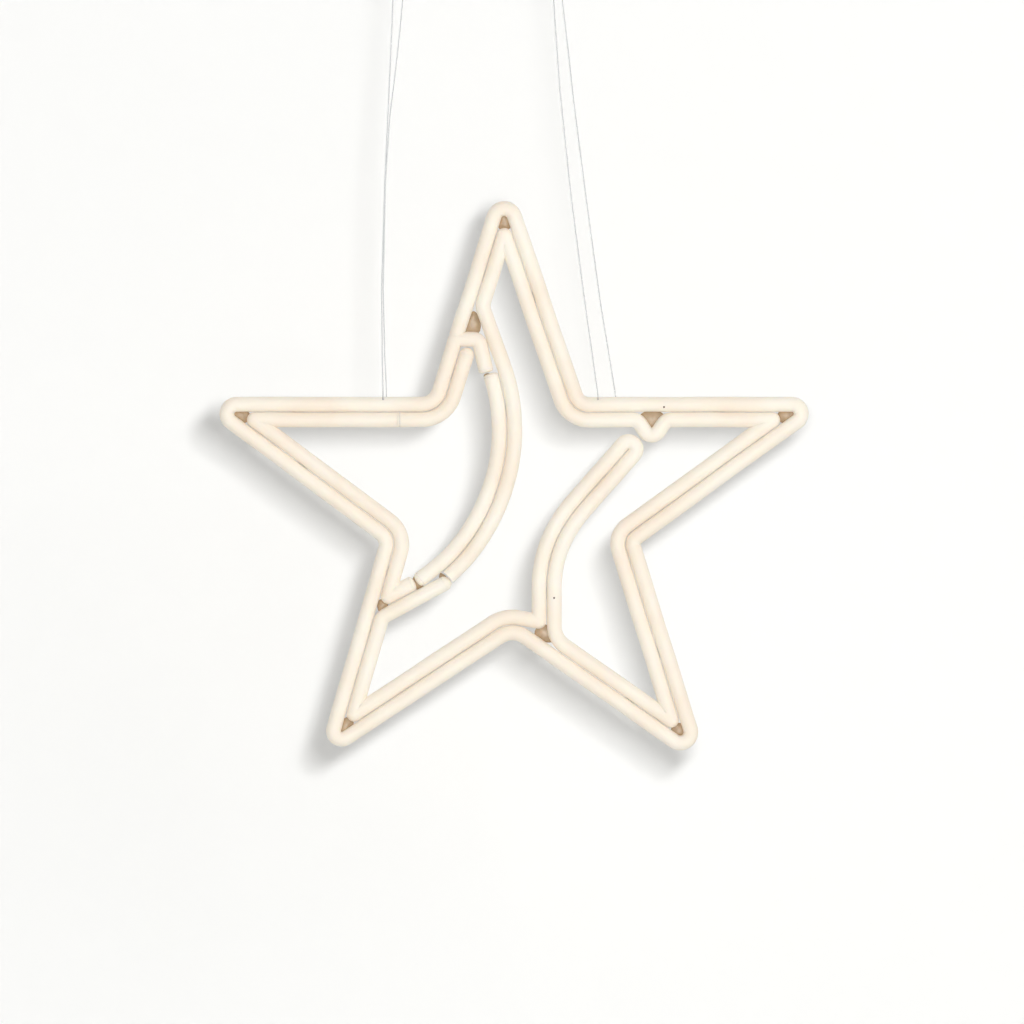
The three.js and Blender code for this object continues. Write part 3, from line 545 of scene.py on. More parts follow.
def shortened(route, at_start, at_end):
    start = route[0][0] + heading(route[0][0], route[1][0]) * at_start
    finish = route[-1][0] + heading(route[-1][0], route[-2][0]) * at_end
    return [(start, 0), *route[1:-1], (finish, 0)]


# The solids leave 0.3 mm between a cap and its tube. Drawn like that, light shows through the
# seam, which the photo doesn't have, so here each capped end reaches 0.26 mm further.
CAP_THICKNESS = 1.0
SEAM = 0.04
FLAT, DOME, BUTT = CAP_THICKNESS + SEAM, SEAM, 0.0
TUBES = {
    "outline": (outline_route, FLAT, BUTT),
    "left_arm": (left_arm_route, FLAT, FLAT),
    "shoulder_stub": (stub_route, BUTT, DOME),
    "left_arc": (left_arc_route, FLAT, FLAT),
    "inner_loop": (inner_loop_route, DOME, BUTT),
}


# %% Rest the outline's far end on its own crown
def cope_to_crown(end_verts):
    along = Vector((shoulder_line[1].x, 0, shoulder_line[1].y))
    left = in_plane(crown_left, Vector((1, 0, 0)), Vector((0, 0, 1)), STAR_PLACE)
    right = in_plane(crown_right, Vector((1, 0, 0)), Vector((0, 0, 1)), STAR_PLACE)
    clear = (TUBE_R + GAP) * MM
    for v in end_verts:
        near, far = -2 * TUBE_R * MM, 2 * TUBE_R * MM
        for _ in range(24):
            middle = (near + far) / 2
            slid = v.co - along * middle
            share = min(1, max(0, (slid - left).dot(right - left) / (right - left).length_squared))
            if (slid - left.lerp(right, share)).length > clear:
                far = middle
            else:
                near = middle
        v.co -= along * far


tubes = {}
for name, (route, at_start, at_end) in TUBES.items():
    bm, ends = bend_tube(shortened(route, at_start, at_end), TUBE_R)
    if name == "outline":
        cope_to_crown(ends[1])
    bmesh.ops.holes_fill(bm, edges=[e for e in bm.edges if e.is_boundary], sides=0)
    wander(bm)
    tubes[name] = finish_mesh(f"{name}_soft_tube", bm, tube_silicone)
    print(name, "tube:", len(tubes[name].data.polygons), "faces")

# %% [markdown]
# ## Slits and pin holes
# The line enters the tube through a short slit over the wire, front leg before back leg. The
# slit runs from front to back, so the line stays free while the star tilts. A thin box cut out
# of the tube makes each one. Two faint dots show on the front, one on the right arm and one on
# the right arc. They could be dirt, and are read here as pin holes, cut with thin round pegs in
# the same way. The faces that a peg leaves behind are painted dark brown, as painted shade for
# the inside of the hole, because holes only a millimetre wide would not show otherwise.

# %% Cut the four slits and the two pin holes
LINE_ENTRIES = [(-48.9, -1), (-47.1, 1), (62.1, -1), (71.3, 1)]
SLIT_WIDTH, SLIT_NEAR, SLIT_FAR, SLIT_TOP = 1.2, 0.1, 3.0, 6.0
PIN_R, PIN_DEPTH, PIN_CLEAR = 0.5, 1.2, 1.0
PIN_HOLES = {"outline": (96.1, -1.4), "inner_loop": (39.4, -99.9)}
# The two dark browns of the pin holes are painted shade for their insides.
pin_hole_painted_shade = cream_silicone("pin_hole_painted_shade", "#8a6b52", "#5f4634")


def slit_tool(bm):
    for x, side in LINE_ENTRIES:
        size = Vector((SLIT_WIDTH, SLIT_FAR - SLIT_NEAR, SLIT_TOP)) * MM
        centre = Vector((x, side * (SLIT_FAR + SLIT_NEAR) / 2, SLIT_TOP / 2 - ARM_DROP)) * MM
        bmesh.ops.create_cube(bm, size=1, matrix=Matrix.LocRotScale(centre, None, size))


def pin_tool(bm, x, height):
    centre = Vector((x, (PIN_DEPTH - PIN_CLEAR) / 2 - TUBE_R, height - ARM_DROP)) * MM
    turn = Matrix.Rotation(math.radians(90), 4, "X")
    peg = bmesh.ops.create_cone(
        bm, cap_ends=True, segments=16, radius1=PIN_R * MM, radius2=PIN_R * MM,
        depth=(PIN_DEPTH + PIN_CLEAR) * MM, matrix=Matrix.Translation(centre) @ turn,
    )
    # The peg's faces become the hole's walls and take its painted shade.
    for face in {face for v in peg["verts"] for face in v.link_faces}:
        face.material_index = 1


def cut_out(tube, bm):
    mesh = bpy.data.meshes.new("cutter")
    bm.to_mesh(mesh)
    bm.free()
    mesh.materials.append(tube_silicone)
    mesh.materials.append(pin_hole_painted_shade)
    cutter = bpy.data.objects.new("cutter", mesh)
    bpy.context.scene.collection.objects.link(cutter)
    cut = tube.modifiers.new("cut", "BOOLEAN")
    cut.operation, cut.solver, cut.object = "DIFFERENCE", "EXACT", cutter
    cut.material_mode = "TRANSFER"
    graph = bpy.context.evaluated_depsgraph_get()
    cut_mesh = bpy.data.meshes.new_from_object(tube.evaluated_get(graph))
    tube.modifiers.clear()
    tube.data = cut_mesh
    bpy.data.objects.remove(cutter)


for name, (x, height) in PIN_HOLES.items():
    tool = bmesh.new()
    if name == "outline":
        slit_tool(tool)
    pin_tool(tool, x, height)
    cut_out(tubes[name], tool)
print("outline tube after the cuts:", len(tubes["outline"].data.polygons), "faces")

# %% [markdown]
# ## End caps
# Where a tube ends in the open, a cap closes it: a disc with a soft rim, some with a crowned
# face, or a dome. A peg plugs the real tube's bore. The tubes here are drawn closed, so the peg
# stays unseen. A cap is a turned shape: its half profile is a few vertices, spun a full turn.

# %% Turn the caps
PEG_R, PEG_LENGTH = 1.0, 2.0
RIM_R = 0.35


def turned(profile, place, axis, steps=36):
    """profile is (radius, height) in mm along the axis; the spun ends are merged on it."""
    side = axis.orthogonal().normalized()
    bm = bmesh.new()
    verts = [bm.verts.new((place + axis * h + side * r) * MM) for r, h in profile]
    edges = [bm.edges.new(pair) for pair in zip(verts, verts[1:])]
    bmesh.ops.spin(bm, geom=verts + edges, cent=place * MM, axis=axis, angle=2 * math.pi,
                   steps=steps, use_merge=True, use_duplicate=False)
    bmesh.ops.remove_doubles(bm, verts=bm.verts, dist=0.002 * MM)
    return bm


def rounded(centre_r, centre_h, radius, start, finish, steps):
    angles = [math.radians(start + (finish - start) * i / steps) for i in range(steps + 1)]
    return [(centre_r + radius * math.cos(a), centre_h + radius * math.sin(a)) for a in angles]


PEG = [(0, -PEG_LENGTH), (PEG_R, -PEG_LENGTH), (PEG_R, 0)]
SEAT_R = 0.15
CROWNS = {"outline_start_cap": 0.75, "left_arc_end_cap": 0.75, "left_arm_end_cap": 1.3,
          "left_arc_start_cap": 1.6}
CROWN_ANGLES = [math.radians(a) for a in range(15, 90, 15)]


def flat_cap(crown):
    face = [(TUBE_R - RIM_R) * math.cos(a) for a in CROWN_ANGLES]
    rise = [crown * math.sin(a) for a in CROWN_ANGLES]
    return [*PEG, *rounded(TUBE_R - SEAT_R, SEAT_R, SEAT_R, -90, 0, 3),
            *rounded(TUBE_R - RIM_R, CAP_THICKNESS - RIM_R, RIM_R, 0, 90, 5),
            *[(r, CAP_THICKNESS + h) for r, h in zip(face, rise)], (0, CAP_THICKNESS + crown)]


DOME_CAP = [*PEG, *rounded(0, 0, TUBE_R, 0, 90, 14)]
caps = {}
for name, (route, at_start, at_end) in TUBES.items():
    for word, kind, end, inner in (("start", at_start, route[0][0], route[1][0]),
                                   ("end", at_end, route[-1][0], route[-2][0])):
        if kind == BUTT:
            continue
        out = heading(inner, end)
        axis = Vector((out.x, 0, out.y))
        seat = Vector((end.x, 0, end.y - ARM_DROP)) - axis * (CAP_THICKNESS if kind == FLAT else 0)
        cap_name = f"{name}_{word}_cap"
        profile = flat_cap(CROWNS.get(cap_name, 0)) if kind == FLAT else DOME_CAP
        bm = turned(profile, seat, axis)
        wander(bm)
        caps[cap_name] = finish_mesh(f"{name}_{word}_soft_cap", bm, cap_silicone)
print("caps:", sorted(caps))

# %% [markdown]
# ## Painted shade in the gaps
# In the tips and at the joints between strands, small brown lumps with an orange edge are set
# into the gaps from the back. They are painted shade: they stand in for the shadow and warm
# bounced light in these narrow gaps. They could be shaded gaps. Each lump is a squashed ball,
# pinched to the gap's shape and a little uneven.

# %% Painted gap shade, brown with an orange tint
# These two browns are painted shade for the narrow gaps between strands.
GAP_SHADE_COLOUR, GAP_SHADE_DEEP = "#c4ab8a", "#a0886c"
GAP_SHADE_MOTTLE_MM = 2.0


def gap_shade_paint(name):
    material, tree, output = new_material(name)
    place = add_node(tree, "ShaderNodeTexCoord").outputs["Object"]
    flow = add_node(tree, "ShaderNodeTexNoise", {"Scale": 1000 / GAP_SHADE_MOTTLE_MM, "Detail": 1.0},
                    {"Vector": place})
    colour = add_node(tree, "ShaderNodeValToRGB", None, {"Fac": flow.outputs["Fac"]})
    colour.color_ramp.elements[0].color = linear(GAP_SHADE_DEEP)
    colour.color_ramp.elements[1].color = linear(GAP_SHADE_COLOUR)
    ripple = add_node(tree, "ShaderNodeBump", {"Strength": 0.3, "Distance": 0.1 * MM},
                      {"Height": flow.outputs["Fac"]})
    shade_skin = add_node(tree, "ShaderNodeBsdfPrincipled",
                    {"IOR": 1.48, "Roughness": 0.4, "Subsurface Weight": 0.3,
                     "Subsurface Radius": (1.0, 0.5, 0.25), "Subsurface Scale": 1.0 * MM},
                    {"Base Color": colour.outputs["Color"], "Normal": ripple.outputs["Normal"]})
    tree.links.new(shade_skin.outputs["BSDF"], output.inputs["Surface"])
    return material


painted_gap_shade = gap_shade_paint("painted_gap_shade")

# %% Put a lump of painted shade into each gap: place, half length, half width, and which way it points
DAB_TUCK_LENGTH, DAB_TUCK_WIDTH = 1.4, 1.3
DAB_LUMP_MM, DAB_LUMP_WAVE_MM = 0.2, 2.5
DABS = {
    "v_dab": (Vector((89.9, -8.0)), 5.0, 5.9, Vector((0, -1))),
    "shoulder_dab": (Vector((-2.7, 41.8)), 6.4, 4.3, Vector((0.12, 1)).normalized()),
    "left_leg_dab": (Vector((-49.4, -104.0)), 3.4, 2.8, Vector((-0.3, -1)).normalized()),
    "notch_dab": (Vector((34.8, -118.7)), 5.6, 4.3, Vector((0.8, -0.6))),
    "foot_dab": (Vector((-31.2, -91.9)), 3.6, 3.2, Vector((-0.45, 0.89)).normalized()),
    "arc_front_dab": (Vector((-18.2, -89.3)), 2.4, 1.8, Vector((-0.45, 0.89)).normalized()),
    "hook_dab": (Vector((5.6, 14.2)), 2.6, 1.9, Vector((1, 0.1)).normalized()),
}
for tip in ("left_tip", "low_left_tip", "low_right_tip", "right_tip", "top_tip"):
    i = CORNERS.index(tip)
    point, bend = OUTLINE[tip]
    arriving = heading(OUTLINE[CORNERS[i - 1]][0], point)
    leaving = heading(point, OUTLINE[CORNERS[(i + 1) % len(CORNERS)]][0])
    half_angle = (-arriving).angle(leaving) / 2
    inward = (leaving - arriving).normalized()
    near = bend / math.sin(half_angle) - bend + TUBE_R
    far = PITCH / math.sin(half_angle) - TUBE_R
    middle = (near + far) / 2
    half_width = middle * math.tan(half_angle) - TUBE_R / math.cos(half_angle)
    DABS[f"{tip}_dab"] = (point + inward * middle, (far - near) / 2 + DAB_TUCK_LENGTH,
                          half_width + DAB_TUCK_WIDTH, -inward)
DAB_SET_BACK, DAB_HALF_DEPTH, DAB_TAPER = 1.9, 1.5, 0.35


# A lump of painted shade: a brown ball set into a gap where shadow falls.
def gap_shade_lump(name, place, half_length, half_width, points_to):
    bm = bmesh.new()
    bmesh.ops.create_uvsphere(bm, u_segments=28, v_segments=18, radius=1)
    for v in bm.verts:
        v.co.x *= 1 - DAB_TAPER * v.co.z
    bmesh.ops.scale(bm, vec=(half_width, DAB_HALF_DEPTH, half_length), verts=bm.verts)
    up = Vector((points_to.x, 0, points_to.y))
    back = Vector((0, 1, 0))
    pose = Matrix((back.cross(up), back, up)).transposed().to_4x4()
    pose.translation = Vector((place.x, DAB_SET_BACK, place.y - ARM_DROP))
    bmesh.ops.transform(bm, matrix=Matrix.Scale(MM, 4) @ pose, verts=bm.verts)
    for v in bm.verts:
        v.co += noise.noise_vector(v.co / (DAB_LUMP_WAVE_MM * MM)) * (DAB_LUMP_MM * MM)
    return finish_mesh(name, bm, painted_gap_shade, 60)


dabs = {name: gap_shade_lump(f"{name}_painted_shade_lump", *size) for name, size in DABS.items()}
print("dabs:", len(dabs), "half widths, mm:", [round(d[2], 1) for d in DABS.values()])

# %% [markdown]
# ## Clear saddles
# Behind the star, small clear saddles hold each pair of strands side by side. A saddle is
# injection-moulded polycarbonate: a flat back with two grooves that the strands press into.
# Its skin is satin and a little milky, so it doesn't glint through the creases of the front.
# Its section is spun groove by groove, filled, extruded and then bevelled as a mould would be.

# %% Clear polycarbonate
FLOW_MM = 2.5


def clear_plastic(name, colour, ior, roughness, transmission):
    material, tree, output = new_material(name)
    place = add_node(tree, "ShaderNodeTexCoord").outputs["Object"]
    flow = add_node(tree, "ShaderNodeTexNoise", {"Scale": 1000 / FLOW_MM, "Detail": 1.0},
                    {"Vector": place})
    wave = add_node(tree, "ShaderNodeBump", {"Strength": 0.2, "Distance": 0.03 * MM},
                    {"Height": flow.outputs["Fac"]})
    gloss = add_node(tree, "ShaderNodeMapRange",
                     {"To Min": roughness * 0.8, "To Max": roughness * 1.2},
                     {"Value": flow.outputs["Fac"]})
    body = add_node(
        tree, "ShaderNodeBsdfPrincipled",
        {"Base Color": linear(colour), "IOR": ior, "Transmission Weight": transmission},
        {"Roughness": gloss.outputs["Result"], "Normal": wave.outputs["Normal"]},
    )
    tree.links.new(body.outputs["BSDF"], output.inputs["Surface"])
    return material


clear_polycarbonate = clear_plastic("clear_moulded_polycarbonate", "#eef2f2", 1.585, 0.4, 0.5)
clear_nylon = clear_plastic("clear_drawn_nylon", "#dcdfe0", 1.53, 0.25, 0.4)

# %% Mould the saddles
SADDLE_LENGTH, SADDLE_BACK, SADDLE_WRAP = 6.0, 1.2, math.radians(45)
SADDLE_EDGE = 0.25
GROOVE_R = TUBE_R + GAP
SIDE_SADDLES = {
    "left_arm_upper_saddle": ("top_left_waist", "left_tip", 0.6),
    "left_arm_lower_saddle": ("left_tip", "left_waist", 0.5),
    "left_leg_outer_saddle": ("left_waist", "low_left_tip", 0.65),
    "left_leg_inner_saddle": ("low_left_tip", "bottom_notch", 0.5),
    "right_leg_inner_saddle": ("bottom_notch", "low_right_tip", 0.6),
    "right_leg_outer_saddle": ("low_right_tip", "right_waist", 0.5),
    "right_arm_lower_saddle": ("right_waist", "right_tip", 0.5),
    "right_arm_upper_saddle": ("right_tip", "top_right_waist", 0.42),
    "top_arm_right_saddle": ("top_right_waist", "top_tip", 0.5),
    "top_arm_left_saddle": ("top_tip", "top_left_waist", 0.38),
    "shoulder_saddle": ("top_tip", "top_left_waist", 0.85),
}
LEFT_ARC_SADDLES = {"left_arc_upper_saddle": 0.84, "left_arc_lower_saddle": 0.275}
KNEE_SHARE, RIGHT_ARC_SHARE, RIGHT_ARC_HEIGHT = 0.5, 0.75, -97.13


def saddle_mesh(middle, run):
    """middle and run are in the star's plane: where the crease is, and which way it goes."""
    half = PITCH / 2 + GROOVE_R * math.sin(SADDLE_WRAP)
    back = GROOVE_R + SADDLE_BACK
    lip = GROOVE_R * math.cos(SADDLE_WRAP)
    bm = bmesh.new()
    for side in (-1, 1):
        first = bm.verts.new((side * PITCH / 2 - GROOVE_R * math.sin(SADDLE_WRAP), lip, 0))
        bmesh.ops.spin(bm, geom=[first], cent=(side * PITCH / 2, 0, 0), axis=(0, 0, -1),
                       angle=2 * SADDLE_WRAP, steps=12, use_duplicate=False)
    bm.verts.ensure_lookup_table()
    chain = sorted(bm.verts, key=lambda v: v.co.x)
    low, high = bm.verts.new((-half, back, 0)), bm.verts.new((half, back, 0))
    inner = [v for v in chain if abs(v.co.x) < PITCH / 2 and abs(v.co.y - lip) < 1e-6]
    for pair in ((chain[0], low), (low, high), (high, chain[-1]), tuple(inner)):
        bm.edges.new(pair)
    face = bmesh.ops.contextual_create(bm, geom=list(bm.edges))["faces"]
    grown = bmesh.ops.extrude_face_region(bm, geom=face)["geom"]
    bmesh.ops.translate(bm, vec=(0, 0, SADDLE_LENGTH),
                        verts=[g for g in grown if isinstance(g, bmesh.types.BMVert)])
    bmesh.ops.recalc_face_normals(bm, faces=bm.faces)
    sharp = [e for e in bm.edges if e.calc_face_angle(0) > math.radians(40)]
    bmesh.ops.bevel(bm, geom=sharp, offset=SADDLE_EDGE, offset_type="OFFSET", affect="EDGES",
                    segments=2, profile=0.5, material=-1, clamp_overlap=True)
    run_3d = Vector((run.x, 0, run.y))
    back_3d = Vector((0, 1, 0))
    pose = Matrix((back_3d.cross(run_3d), back_3d, run_3d)).transposed().to_4x4()
    pose.translation = Vector((middle.x, 0, middle.y - ARM_DROP)) - run_3d * (SADDLE_LENGTH / 2)
    bmesh.ops.transform(bm, matrix=Matrix.Scale(MM, 4) @ pose, verts=bm.verts)
    return bm


saddle_places = {}
for name, (start, finish, share) in SIDE_SADDLES.items():
    p, q = OUTLINE[start][0], OUTLINE[finish][0]
    d = heading(p, q)
    saddle_places[name] = (p.lerp(q, share) + left_of(d) * (PITCH / 2), d)
for name, share in LEFT_ARC_SADDLES.items():
    angle = low_angle + (top_angle - low_angle) * share
    saddle_places[name] = (arc_point(ARC_CREASE_R, angle), arc_tangent(angle))
knee_bend, knee_r = inner_waist("left_waist")
knee_turn = inner_side("left_tip", "left_waist")[1].angle(inner_leg[1])
below_knee = knee_bend + inner_leg[1] * (knee_r * math.tan(knee_turn / 2))
knee_point = below_knee.lerp(foot_corner, KNEE_SHARE) - left_of(inner_leg[1]) * (PITCH / 2)
saddle_places["left_leg_knee_saddle"] = (knee_point, inner_leg[1])
slant = heading(arc_foot, right_top)
saddle_places["right_arc_upper_saddle"] = (arc_foot.lerp(right_top, RIGHT_ARC_SHARE), slant)
saddle_places["right_arc_lower_saddle"] = (Vector((RIGHT_ARC_X, RIGHT_ARC_HEIGHT)),
                                          Vector((0, 1)))
saddles = {}
for name, (middle, run) in saddle_places.items():
    saddles[name] = finish_mesh(f"{name}_clear", saddle_mesh(middle, run), clear_polycarbonate, 30)
print("saddles:", len(saddles))

# %% [markdown]
# ## Ceiling hooks
# A hook is one steel wire, bent to a bowl under a round plate and powder-coated white with it.
# A small ball closes the open end, so the line can't be scratched. The wire is the same push
# and bend as the tube, and plate and ball are turned.

# %% White powder coat
POWDER_COAT_MM = 0.8


def powder_coat(name, colour):
    material, tree, output = new_material(name)
    place = add_node(tree, "ShaderNodeTexCoord").outputs["Object"]
    peel = add_node(tree, "ShaderNodeTexNoise", {"Scale": 1000 / POWDER_COAT_MM, "Detail": 1.5},
                    {"Vector": place})
    bump = add_node(tree, "ShaderNodeBump", {"Strength": 0.3, "Distance": 0.05 * MM},
                    {"Height": peel.outputs["Fac"]})
    rough = add_node(tree, "ShaderNodeMapRange", {"To Min": 0.32, "To Max": 0.46},
                     {"Value": peel.outputs["Fac"]})
    coat = add_node(tree, "ShaderNodeBsdfPrincipled", {"Base Color": linear(colour), "IOR": 1.5},
                    {"Roughness": rough.outputs["Result"], "Normal": bump.outputs["Normal"]})
    tree.links.new(coat.outputs["BSDF"], output.inputs["Surface"])
    return material


white_coat = powder_coat("white_powder_coated_steel", "#f1f1ee")

# %% Bend and turn the hooks
HOOK_X, HOOK_WIRE_R, BOWL_R, HOOK_DROP = 41.0, 1.8, 7.0, 23.2
PLATE_R, PLATE_THICKNESS, BALL_R, TIP_RISE = 11.0, 2.0, 2.4, 9.0


def ceiling_hook(name, x):
    origin = Vector((x, 0, 0))
    route = [
        (Vector((0, -1.0)), 0), (Vector((0, -7.0)), 3.0), (Vector((BOWL_R, -12.0)), 3.0),
        (Vector((BOWL_R, -HOOK_DROP)), BOWL_R), (Vector((-BOWL_R, -HOOK_DROP)), BOWL_R),
        (Vector((-BOWL_R, -HOOK_DROP + TIP_RISE)), 0),
    ]
    bm, _ = bend_tube(route, HOOK_WIRE_R, 24, Vector((0, 1, 0)), Vector((0, 0, 1)), origin)
    bmesh.ops.holes_fill(bm, edges=[e for e in bm.edges if e.is_boundary], sides=0)
    down = Vector((0, 0, -1))
    plate = [(0, 0), (PLATE_R - 0.3, 0), (PLATE_R, 0.3), (PLATE_R, 1.2),
             *rounded(PLATE_R - 0.8, 1.2, 0.8, 0, 90, 5),
             (HOOK_WIRE_R + 1.2, PLATE_THICKNESS), (HOOK_WIRE_R + 0.5, PLATE_THICKNESS + 0.2),
             (HOOK_WIRE_R - 0.2, PLATE_THICKNESS + 0.8), (0, PLATE_THICKNESS + 0.8)]
    ball = Vector((0, -BOWL_R, -HOOK_DROP + TIP_RISE))
    pieces = [bm, turned(plate, origin, down, 48),
              turned(rounded(0, 0, BALL_R, -90, 90, 16), origin + ball, down, 28)]
    whole = bmesh.new()
    for part in pieces:
        mesh = bpy.data.meshes.new("hook_part")
        part.to_mesh(mesh)
        part.free()
        whole.from_mesh(mesh)
        bpy.data.meshes.remove(mesh)
    return finish_mesh(name, whole, white_coat)


left_hook = ceiling_hook("left_coated_hook", -HOOK_X)
right_hook = ceiling_hook("right_coated_hook", HOOK_X)

# %% [markdown]
# ## Crimps
# A crimp is a short drawn aluminium sleeve with both ends of the line inside. Pliers press it
# flat in two places. It starts as a pipe, and two bands of it are then squeezed from front to
# back.

# %% Bare aluminium
DRAW_MARK_MM = 0.25


def bare_aluminium(name, colour, roughness):
    material, tree, output = new_material(name)
    place = add_node(tree, "ShaderNodeTexCoord").outputs["Object"]
    stretch = add_node(tree, "ShaderNodeMapping", {"Scale": (1.0, 1.0, 0.12)}, {"Vector": place})
    drawn = add_node(tree, "ShaderNodeTexNoise", {"Scale": 1000 / DRAW_MARK_MM, "Detail": 2.0},
                     {"Vector": stretch.outputs["Vector"]})
    bump = add_node(tree, "ShaderNodeBump", {"Strength": 0.25, "Distance": 0.01 * MM},
                    {"Height": drawn.outputs["Fac"]})
    rough = add_node(tree, "ShaderNodeMapRange",
                     {"To Min": roughness - 0.07, "To Max": roughness + 0.1},
                     {"Value": drawn.outputs["Fac"]})
    metal = add_node(tree, "ShaderNodeBsdfPrincipled",
                     {"Base Color": linear(colour), "Metallic": 1.0},
                     {"Roughness": rough.outputs["Result"], "Normal": bump.outputs["Normal"]})
    tree.links.new(metal.outputs["BSDF"], output.inputs["Surface"])
    return material


sleeve_aluminium = bare_aluminium("drawn_aluminium_sleeve", "#c9cbcc", 0.32)
wire_aluminium = bare_aluminium("annealed_aluminium_wire", "#bfc1c4", 0.42)

# %% Press the crimps
CRIMP_R, CRIMP_BORE_R, CRIMP_LENGTH, CRIMP_TOP, CRIMP_RIM = 1.0, 0.6, 7.0, -32.5, 0.15
PRESS_HEIGHTS, PRESS_REACH, PRESS_DEPTH = (2.0, 5.0), 0.7, 0.3


def pressed_crimp(name, x):
    place = Vector((x, 0, CRIMP_TOP - CRIMP_LENGTH / 2))
    up = Vector((0, 0, 1))
    heights = [CRIMP_RIM + (CRIMP_LENGTH - 2 * CRIMP_RIM) * i / 20 for i in range(21)]
    wall = [(CRIMP_BORE_R, 0), (CRIMP_R - CRIMP_RIM, 0), *[(CRIMP_R, h) for h in heights],
            (CRIMP_R - CRIMP_RIM, CRIMP_LENGTH), (CRIMP_BORE_R, CRIMP_LENGTH),
            (CRIMP_BORE_R, 0)]
    bm = turned(wall, place, up, 24)
    for v in bm.verts:
        height = v.co.z / MM - place.z
        radius = math.hypot(v.co.x / MM - x, v.co.y / MM)
        if radius < CRIMP_R - 0.2:
            continue
        press = max(math.exp(-(((height - h) / PRESS_REACH) ** 2)) for h in PRESS_HEIGHTS)
        v.co.y *= 1 - PRESS_DEPTH * press
    return finish_mesh(name, bm, sleeve_aluminium, 50)


left_crimp = pressed_crimp("left_pressed_crimp", -38.6)
right_crimp = pressed_crimp("right_pressed_crimp", 43.4)

# %% [markdown]
# ## Each piece in its place
# Every new piece stands for its CAD node and rides on the same body. The lumps of painted shade
# in the gaps have no node and only ride on the star. The wires inside the tubes are right as
# they are, so they only get their metal.

# %% Tell the frame what stands for what
for name, tube in tubes.items():
    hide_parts(f"{name}_tube")
    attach(tube, "star")
    wire_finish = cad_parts[f"{name}_wire"].material_slots[0]
    wire_finish.link = "OBJECT"
    wire_finish.material = wire_aluminium
for name, cap in caps.items():
    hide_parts(name)
    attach(cap, "star")
for dab in dabs.values():
    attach(dab, "star")
for name, saddle in saddles.items():
    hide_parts(name)
    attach(saddle, "star")
for side, line, crimp, hook in (("left", left_line, left_crimp, left_hook),
                                ("right", right_line, right_crimp, right_hook)):
    line.data.materials.append(clear_nylon)
    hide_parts(f"{side}_line")
    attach(line, "hanging_lines")
    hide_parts(f"{side}_crimp")
    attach(crimp, "hanging_lines")
    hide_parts(f"{side}_ceiling_hook")
    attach(hook, "ceiling_hooks")

# %% [markdown]
# ## Wall and floor
# The star hangs before a plain white wall that takes its soft shadow. Wall and floor are matt
# emulsion. They are one-sided: from behind, the wall is clear, so the star's back can be seen.
# For the camera a little light of their own lifts them to the white of the photograph.

# %% Matt white wall and floor
WALL_BACK, FLOOR_DROP, ROOM = 0.17, -0.95, 6.0
ROLLER_MM = 3.0


def matt_emulsion(name, colour, lift):
    material, tree, output = new_material(name)
    place = add_node(tree, "ShaderNodeTexCoord").outputs["Object"]
    roller = add_node(tree, "ShaderNodeTexNoise", {"Scale": 1000 / ROLLER_MM, "Detail": 2.0},
                      {"Vector": place})
    bump = add_node(tree, "ShaderNodeBump", {"Strength": 0.04, "Distance": 0.05 * MM},
                    {"Height": roller.outputs["Fac"]})
    paint = add_node(tree, "ShaderNodeBsdfDiffuse", {"Color": linear(colour), "Roughness": 0.5},
                     {"Normal": bump.outputs["Normal"]})
    glow = add_node(tree, "ShaderNodeEmission", {"Color": (1, 1, 1, 1)})
    seen = add_node(tree, "ShaderNodeLightPath")
    strength = add_node(tree, "ShaderNodeMath", {"operation": "MULTIPLY", 1: lift},
                        {0: seen.outputs["Is Camera Ray"]})
    tree.links.new(strength.outputs["Value"], glow.inputs["Strength"])
    both = add_node(tree, "ShaderNodeAddShader", None,
                    {0: paint.outputs["BSDF"], 1: glow.outputs["Emission"]})
    clear = add_node(tree, "ShaderNodeBsdfTransparent")
    side = add_node(tree, "ShaderNodeNewGeometry")
    one_sided = add_node(tree, "ShaderNodeMixShader", None,
                         {0: side.outputs["Backfacing"], 1: both.outputs["Shader"],
                          2: clear.outputs["BSDF"]})
    tree.links.new(one_sided.outputs["Shader"], output.inputs["Surface"])
    return material


def flat_sheet(name, matrix, material):
    bm = bmesh.new()
    bmesh.ops.create_grid(bm, x_segments=1, y_segments=1, size=ROOM / 2, matrix=matrix)
    mesh = bpy.data.meshes.new(name)
    bm.to_mesh(mesh)
    bm.free()
    mesh.materials.append(material)
    sheet = bpy.data.objects.new(name, mesh)
    bpy.context.scene.collection.objects.link(sheet)


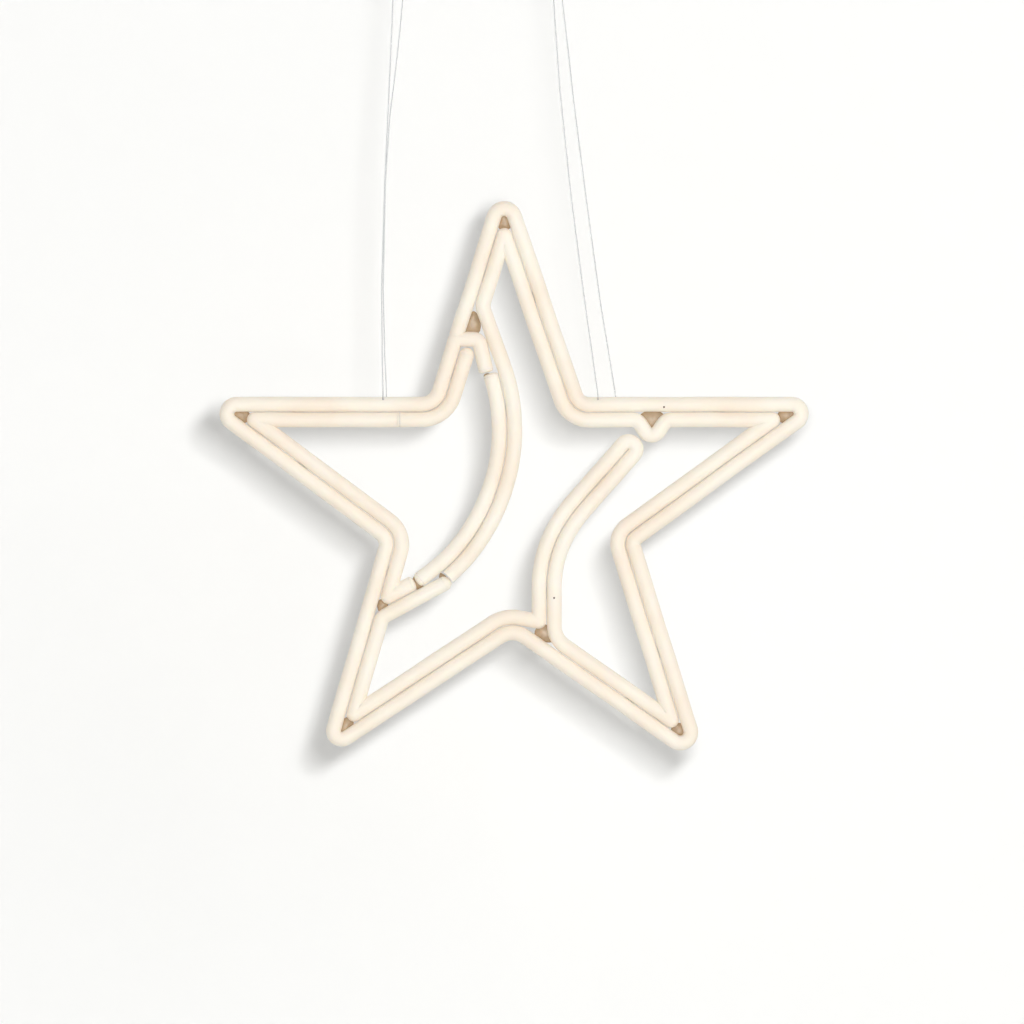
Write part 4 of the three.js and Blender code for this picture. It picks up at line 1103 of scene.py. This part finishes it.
wall_paint = matt_emulsion("matt_white_emulsion", "#f7f7f6", 0.07)
floor_paint = matt_emulsion("pale_floor_paint", "#f0f0ee", 0.5)
to_the_front = Matrix.Rotation(math.radians(90), 4, "X")
flat_sheet("wall", Matrix.Translation((0, WALL_BACK, FLOOR_DROP + ROOM / 2)) @ to_the_front,
           wall_paint)
flat_sheet("floor", Matrix.Translation((0, WALL_BACK - ROOM / 2, FLOOR_DROP)), floor_paint)

# %% [markdown]
# ## Light
# The photograph is lit softly from the upper right, and the shadow lies low on the left of
# each strand. It is darkest beside the tube and fades away from it. A long narrow lamp does
# that: it starts almost straight in front of the star and runs off to the upper right. A large
# soft lamp on the same side shapes the tube, and the white room fills the rest. Both lamps hang
# far off, so the shadows fall the same way all over the star.

# %% Hang the lamps
AIM = Vector((0.018, 0.0, -0.30))


def area_lamp(name, place, width, height, watts, roll=0.0):
    data = bpy.data.lights.new(name, "AREA")
    data.shape, data.size, data.size_y = "RECTANGLE", width, height
    data.energy = watts
    lamp = bpy.data.objects.new(name, data)
    facing = (AIM - Vector(place)).to_track_quat("-Z", "Y")
    lamp.matrix_world = (Matrix.Translation(place) @ facing.to_matrix().to_4x4()
                         @ Matrix.Rotation(roll, 4, "Z"))
    lamp.visible_camera = False
    bpy.context.scene.collection.objects.link(lamp)


area_lamp("long_front_lamp", (0.288, -6.0, -0.03), 0.60, 0.22, 175, math.radians(45))
area_lamp("upper_right_lamp", (2.6, -2.6, 1.8), 2.4, 2.4, 28)

world = bpy.data.worlds.new("white_room")
world.use_nodes = True
bpy.context.scene.world = world
room = world.node_tree
room.nodes.clear()
path = add_node(room, "ShaderNodeLightPath")
seen = add_node(room, "ShaderNodeMath", {"operation": "MAXIMUM"},
                {0: path.outputs["Is Camera Ray"], 1: path.outputs["Is Glossy Ray"]})
seen_through = add_node(room, "ShaderNodeMath", {"operation": "MAXIMUM"},
                        {0: seen.outputs["Value"], 1: path.outputs["Is Transmission Ray"]})
level = add_node(room, "ShaderNodeMapRange", {"To Min": 0.31, "To Max": 0.98},
                 {"Value": seen_through.outputs["Value"]})
air = add_node(room, "ShaderNodeBackground", {"Color": linear("#ffffff")},
               {"Strength": level.outputs["Result"]})
add_node(room, "ShaderNodeOutputWorld", None, {"Surface": air.outputs["Background"]})
bpy.context.scene.view_settings.view_transform = "Standard"
